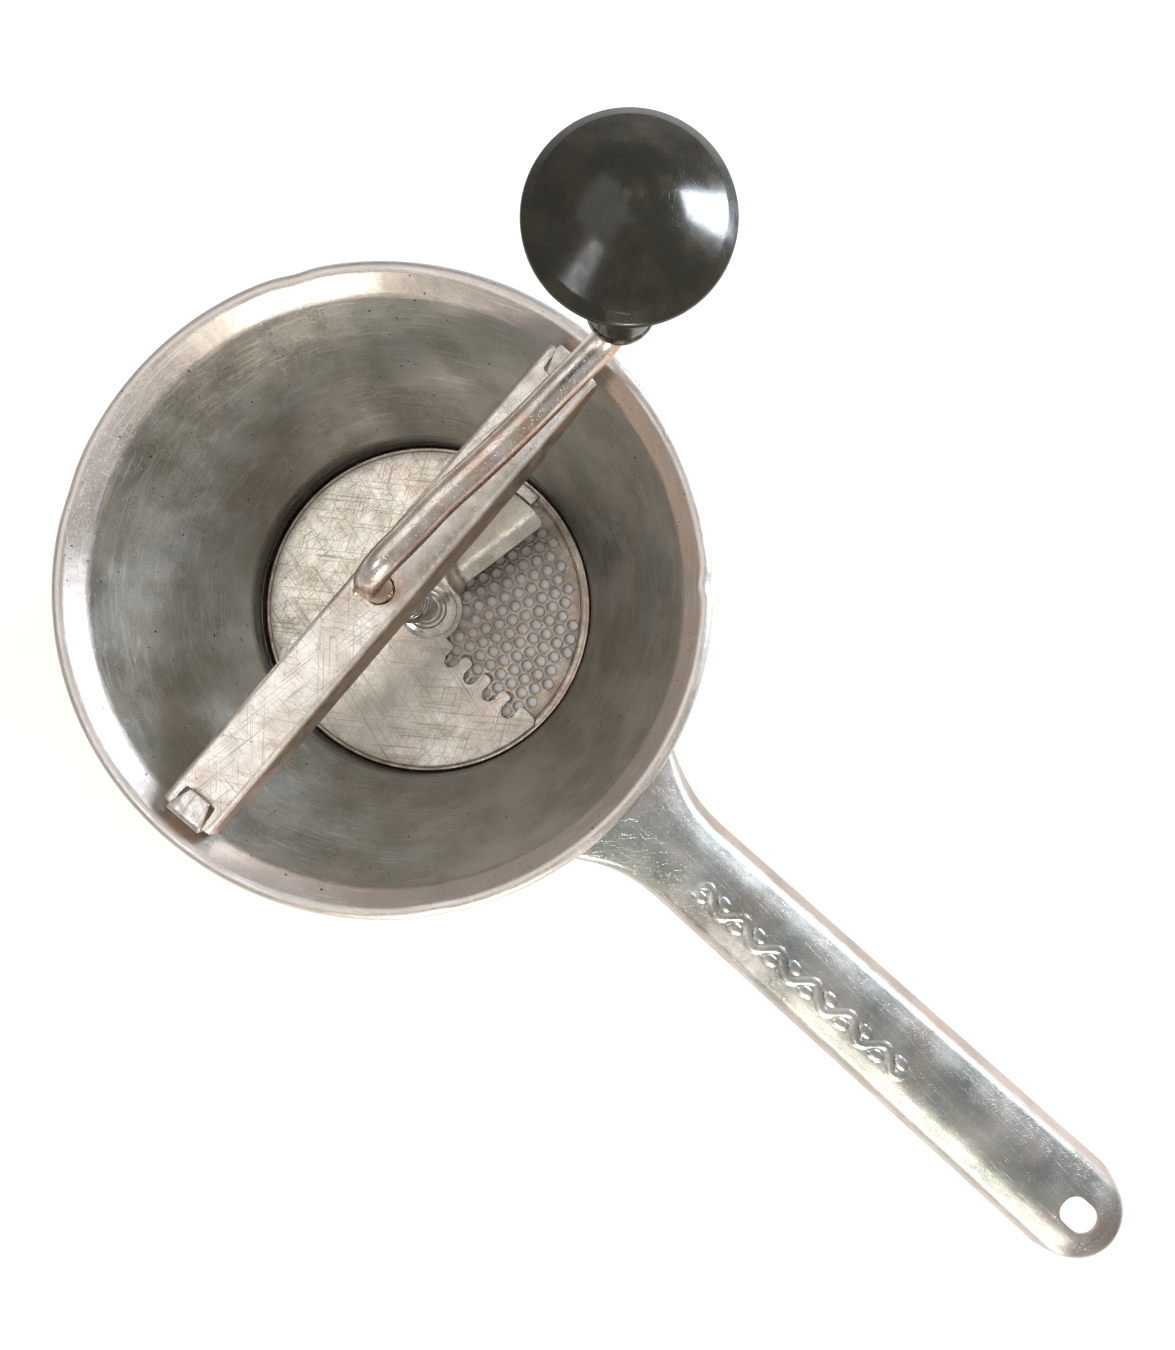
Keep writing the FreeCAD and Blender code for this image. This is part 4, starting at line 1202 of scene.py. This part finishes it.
def make_crank():
    path = crank_path()
    radii = [ROD_RADIUS] * len(path)
    radii[0] = ROD_RADIUS - 0.5
    radii[-1] = ROD_RADIUS - 0.4
    shape = sweep(path, radii, 48)
    low = box_mm("crank_rod")[0].z
    high = box_mm("crank_rod")[1].z
    add_piece("crank_bar", shape, "crank", "rod_steel", ["crank_rod"], sharp=60.0)
    stub = lathe([(0.0, low), (2.6, low), (3.0, low + 0.4), (3.0, 4.0), (0.0, 4.0)], 32, closed=False)
    add_piece("crank_stub", stub, "crank", "rod_steel")
    foot = SPINDLE_SHOULDER - 0.6
    profile = [(0.0, foot), (3.2, foot), (3.2, high - 0.5), (2.7, high), (0.0, high)]
    spindle = lathe(profile, 32, closed=False)
    spindle.bend(lambda point: point + KNOB_MOVE)
    add_piece("crank_spindle", spindle, "crank", "rod_steel")


def make_pin(name, node, slot, proud=0.0):
    """Cross pin with one peened end, which stands out by proud further than the CAD's."""
    low, high = box_mm(node)
    middle = (low + high) / 2.0
    span = high - low
    radius = span.z / 2.0
    direction = PIN_DIRECTIONS[node]
    across = abs(math.cos(direction))
    along_y = abs(math.sin(direction))
    if across > along_y:
        length = (span.x - 2.0 * radius * along_y) / across
    else:
        length = (span.y - 2.0 * radius * across) / along_y
    profile = [(0.0, 0.0), (radius * 0.7, 0.05), (radius, 0.3), (radius, 0.6)]
    end = length + proud
    profile += [(radius, end - 0.6), (radius * 1.12, end - 0.4), (radius * 0.85, end + 0.1)]
    profile += [(radius * 0.4, end + 0.3), (0.0, end + 0.32)]
    shape = lathe(profile, 24, closed=False)
    along = Vector((math.cos(direction), math.sin(direction), 0.0))
    side = UP.cross(along)
    start = middle - along * length / 2.0
    shape.bend(lambda point: start + side * point.x + UP * point.y + along * point.z)
    add_piece(name, shape, "crank", slot, [node], sharp=50.0)


def make_hub():
    low, high = box_mm("hub")
    foot = low.z
    edge = high.x
    top = high.z
    corners = [
        (ROD_RADIUS + 0.02, foot),
        (edge, foot),
        (edge, foot + 0.8, 0.3),
        (9.6, foot + 1.6, 2.5),
        (7.6, foot + 2.0, 1.0),
        (7.3, foot + 2.9, 0.5),
        (6.0, foot + 3.1, 0.6),
        (5.8, top - 0.5, 0.4),
        (5.2, top, 0.4),
        (ROD_RADIUS + 0.02, top),
    ]
    shape = lathe(rounded(corners, steps=5), 96)
    add_piece("hub_turned", shape, "crank", "hub_steel", ["hub"], sharp=50.0)


# ---------------------------------------------------------------- blade

WING_FOLD = 25.0
WING_OUTER = 55.4
RING_INNER = 56.6
WING_RISE = 11.0
LIP_BACK = 3.2
LIP_FRONT = 2.6


def blade_outline(radius):
    """Plan of the blade in its own frame, the wing's front along +Y and the open quarter to its right."""
    edge_y = -3.6
    pad = 13.4
    corner = 3.0
    turn = -BLADE_TURN
    outline = []
    ring_end = 98.0
    trailing = math.degrees(math.asin(edge_y / radius)) + math.degrees(turn)
    outline += arc((0, 0), radius, ring_end, 360.0 + trailing - 3.0, 300)
    fingers = [(math.sqrt(radius ** 2 - edge_y ** 2), edge_y, corner)]
    pitch, first, width, depth = 9.8, 20.2, 4.6, 7.8
    for row in (3, 2, 1, 0):
        middle = first + pitch * row
        half = width / 2.0
        tip = 1.8 if row < 3 else 1.2
        fingers.append((middle + half, edge_y, tip))
        fingers.append((middle + half + 0.35, edge_y - depth + half))
        fingers += arc((middle, edge_y - depth + half), half, 0.0, -180.0, 12)[1:-1]
        fingers.append((middle - half - 0.35, edge_y - depth + half))
        fingers.append((middle - half, edge_y, tip))
    fingers.append((math.sqrt(pad ** 2 - edge_y ** 2), edge_y, 0.8))
    line = rounded([(fingers[0][0] - 0.2, edge_y - 4.0)] + fingers, steps=5)[1:]
    outline += [turned(point, turn) for point in line]
    pad_start = math.degrees(math.asin(edge_y / pad)) + math.degrees(turn)
    pad_end = math.degrees(math.acos(LIP_FRONT / pad))
    outline += arc((0, 0), pad, pad_start + 2.0, pad_end, 30)
    lip_end = math.sqrt(WING_OUTER ** 2 - LIP_FRONT ** 2)
    lip_corner = [(LIP_FRONT, 14.0), (LIP_FRONT, lip_end, 2.4), (-LIP_BACK, WING_OUTER)]
    outline += rounded(lip_corner)[1:-1]
    lip_angle = math.degrees(math.acos(-LIP_BACK * 0.4 / WING_OUTER))
    fold_angle = math.degrees(math.acos(-WING_FOLD / WING_OUTER))
    outline += arc((0, 0), WING_OUTER, lip_angle, fold_angle, 24)
    outline += arc((0, 0), (WING_OUTER + RING_INNER) / 2.0, fold_angle + 0.8, fold_angle + 0.8, 1)[:1]
    outline += arc((0, 0), RING_INNER, fold_angle, ring_end, 20)
    return outline


def blade_rise(point):
    """Lifts the wing: a ramp from the fold, a flat lip in front, and a twist down to the hub."""
    distance = math.hypot(point.x, point.y)
    lift = 0.0
    if point.y > 0.0 and distance < (WING_OUTER + RING_INNER) / 2.0 and point.x > -WING_FOLD:
        ramp = (point.x + WING_FOLD) / (WING_FOLD - LIP_BACK)
        lift = WING_RISE * min(ramp, 1.0)
        if point.x > -LIP_BACK:
            lift -= 0.5 * (point.x + LIP_BACK) / (LIP_FRONT + LIP_BACK)
        start = 12.2 + 0.25 * max(-point.x - LIP_BACK, 0.0)
        lift *= smooth(point.y, start, start + 7.0)
        lift *= smooth(point.x, -WING_FOLD, -WING_FOLD + 3.0) * 0.35 + 0.65
    warp = 0.10 * noise.noise(Vector((point.x * 0.05, point.y * 0.05, 7.0)))
    x, y = turned((point.x, point.y), BLADE_TURN)
    return Vector((x, y, point.z + lift + warp * smooth(distance, 14.0, 30.0)))


def make_blade():
    radius = 61.0
    foot = box_mm("presser_blade")[0].z
    sheet = 1.2
    outline = resampled(blade_outline(radius), 1.5)
    bore = arc((0, 0), 3.02, 360.0, 12.0, 29)
    extra = scattered([outline, bore], 1.8, 0.9)
    shape = slab([outline, bore], foot, foot + sheet, 0.3, extra, blade_rise)
    add_piece(
        "blade_sheet", shape, "crank", "blade_steel", ["presser_blade"],
        sharp=35.0, weighted=True,
    )


# ---------------------------------------------------------------- spring, knob and small fittings


def make_spring():
    """Evenly pitched coil, drawn at one length with a mesh of its own; nothing here squeezes it towards the
    bridge when the blade lifts.
    """
    low, high = box_mm("pressure_spring")
    wire = 0.65
    radius = (high.x - low.x) / 2.0 - wire
    foot = low.z + wire
    top = high.z - wire
    coils = 9.0
    sides_per_turn = 48
    count = int(coils * sides_per_turn)
    path = []
    for row in range(count + 1):
        share = row / count
        turns = coils * share
        angle = 2.0 * math.pi * turns
        path.append((radius * math.cos(angle), radius * math.sin(angle), foot + (top - foot) * share))
    shape = sweep(path, [wire] * len(path), 14)
    piece = add_piece("spring_coil", shape, "bowl", "spring_steel", ["pressure_spring"], sharp=60.0)
    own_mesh(piece)


def make_knob():
    low, high = box_mm("knob")
    edge = (high.x - low.x) / 2.0
    foot = low.z
    top = high.z
    widest = top - 10.8
    corners = [
        (4.8, foot),
        (8.0, foot, 0.8),
        (8.8, foot + 1.4, 0.8),
        (8.8, foot + 3.4, 1.5),
        (8.2, foot + 16.5, 16.0),
        (edge - 6.2, widest - 7.2, 9.0),
        (edge - 0.7, widest - 2.4, 2.5),
        (edge - 0.25, widest - 1.0, 0.3),
        (edge - 0.25, widest - 0.6, 0.1),
        (edge, widest - 0.4, 0.15),
        (edge, widest + 0.6, 1.2),
        (edge - 2.6, widest + 2.6, 5.0),
        (9.0, top - 1.55, 22.0),
        (0.0, top + 0.25),
    ]
    profile = rounded(corners, steps=10)
    tip = 3.0
    profile = [point for point in profile if point[0] > tip]
    slope_height = profile[-1][1]
    for row in range(1, 9):
        share = row / 8.0
        height = slope_height + (top - slope_height) * math.sin(share * math.pi / 2.0)
        profile.append((tip * (1.0 - share), height))
    inside_line = [(0.0, top - 13.6), (6.2, top - 13.6), (6.2, top - 18.6), (4.8, top - 18.6)]
    shape = lathe(profile + inside_line, 192)
    shape.bend(lambda point: point + KNOB_MOVE)
    add_piece("knob_grip", shape, "knob", "black_bakelite", ["knob"], sharp=50.0)


def paint_cad_nodes():
    """The CAD pieces that are kept take a worn finish of their own slot."""
    slots = {row["node"]: row["material_slot"] for row in frame["record"]["subparts"]}
    for node, obj in frame["nodes"].items():
        if obj.hide_render:
            continue
        obj.data.materials.clear()
        obj.data.materials.append(MATERIALS[slots[node]])


# ---------------------------------------------------------------- stage, light and camera

VIEW_TURN = math.radians(42.0)
CAMERA_PLACE = (0.0631, 0.0224, 0.375)


def make_floor():
    side = 12.0
    mesh = bpy.data.meshes.new("floor")
    corners = [(-side, -side, 0.0), (side, -side, 0.0), (side, side, 0.0), (-side, side, 0.0)]
    mesh.from_pydata(corners, [], [(0, 1, 2, 3)])
    floor = bpy.data.objects.new("floor", mesh)
    bpy.context.collection.objects.link(floor)
    mesh.materials.append(PALE_FLOOR)


def add_light(name, bearing, rise, distance, size, power, color):
    """A soft panel; bearing is degrees from the picture's right, turning left; rise is above the floor."""
    data = bpy.data.lights.new(name, "AREA")
    data.shape = "RECTANGLE"
    data.size = size[0]
    data.size_y = size[1]
    data.energy = power
    data.color = color
    light = bpy.data.objects.new(name, data)
    bpy.context.collection.objects.link(light)
    angle = math.radians(bearing) + VIEW_TURN
    height = math.radians(rise)
    flat = math.cos(height)
    away = Vector((math.cos(angle) * flat, math.sin(angle) * flat, math.sin(height)))
    target = Vector((0.03, 0.02, 0.06))
    light.location = target + away * distance
    light.rotation_euler = away.to_track_quat("Z", "Y").to_euler()


def make_lights():
    add_light("ceiling", 140.0, 64.0, 1.6, (1.3, 1.3), 6.5, (1.0, 0.97, 0.93))
    add_light("window_right", 26.0, 24.0, 1.5, (0.55, 0.5), 38.0, (0.84, 0.92, 1.0))
    add_light("window_front", -88.0, 20.0, 1.5, (0.3, 0.35), 18.0, (1.0, 0.93, 0.80))
    add_light("window_left", 210.0, 52.0, 1.5, (0.35, 0.35), 3.5, (0.95, 0.97, 1.0))


def make_world():
    """Even studio grey overhead, dimmer and warmer towards the walls of the room."""
    world = bpy.data.worlds.new("studio")
    bpy.context.scene.world = world
    world.use_nodes = True
    nodes = world.node_tree.nodes
    links = world.node_tree.links
    direction = nodes.new("ShaderNodeTexCoord")
    split = nodes.new("ShaderNodeSeparateXYZ")
    links.new(direction.outputs["Generated"], split.inputs[0])
    ramp = nodes.new("ShaderNodeValToRGB")
    links.new(split.outputs[2], ramp.inputs["Fac"])
    ramp.color_ramp.elements[0].position = 0.05
    ramp.color_ramp.elements[0].color = (0.42, 0.39, 0.36, 1.0)
    ramp.color_ramp.elements[1].position = 0.75
    ramp.color_ramp.elements[1].color = (0.62, 0.61, 0.59, 1.0)
    background = nodes["Background"]
    links.new(ramp.outputs["Color"], background.inputs["Color"])
    background.inputs["Strength"].default_value = 1.0


def make_camera():
    data = bpy.data.cameras.new("camera")
    data.sensor_width = 36.0
    data.lens = 25.6
    data.clip_start = 0.01
    camera = bpy.data.objects.new("camera", data)
    bpy.context.collection.objects.link(camera)
    camera.location = CAMERA_PLACE
    camera.rotation_euler = (0.0, 0.0, VIEW_TURN)
    bpy.context.scene.camera = camera


# ---------------------------------------------------------------- build

make_bowl()
make_handle()
make_disc()
make_bridge()
make_lug("lug_left", "bridge_lug_left", 0.0)
make_lug("lug_right", "bridge_lug_right", math.pi)
make_crank()
make_pin("stop_pin_peened", "stop_pin", "pin_brass", proud=2.4)
make_pin("spring_pin_turned", "spring_pin", "rod_steel")
make_hub()
make_blade()
make_spring()
make_knob()
paint_cad_nodes()
make_floor()
make_lights()
make_world()
make_camera()
bpy.context.scene.view_settings.view_transform = "Standard"
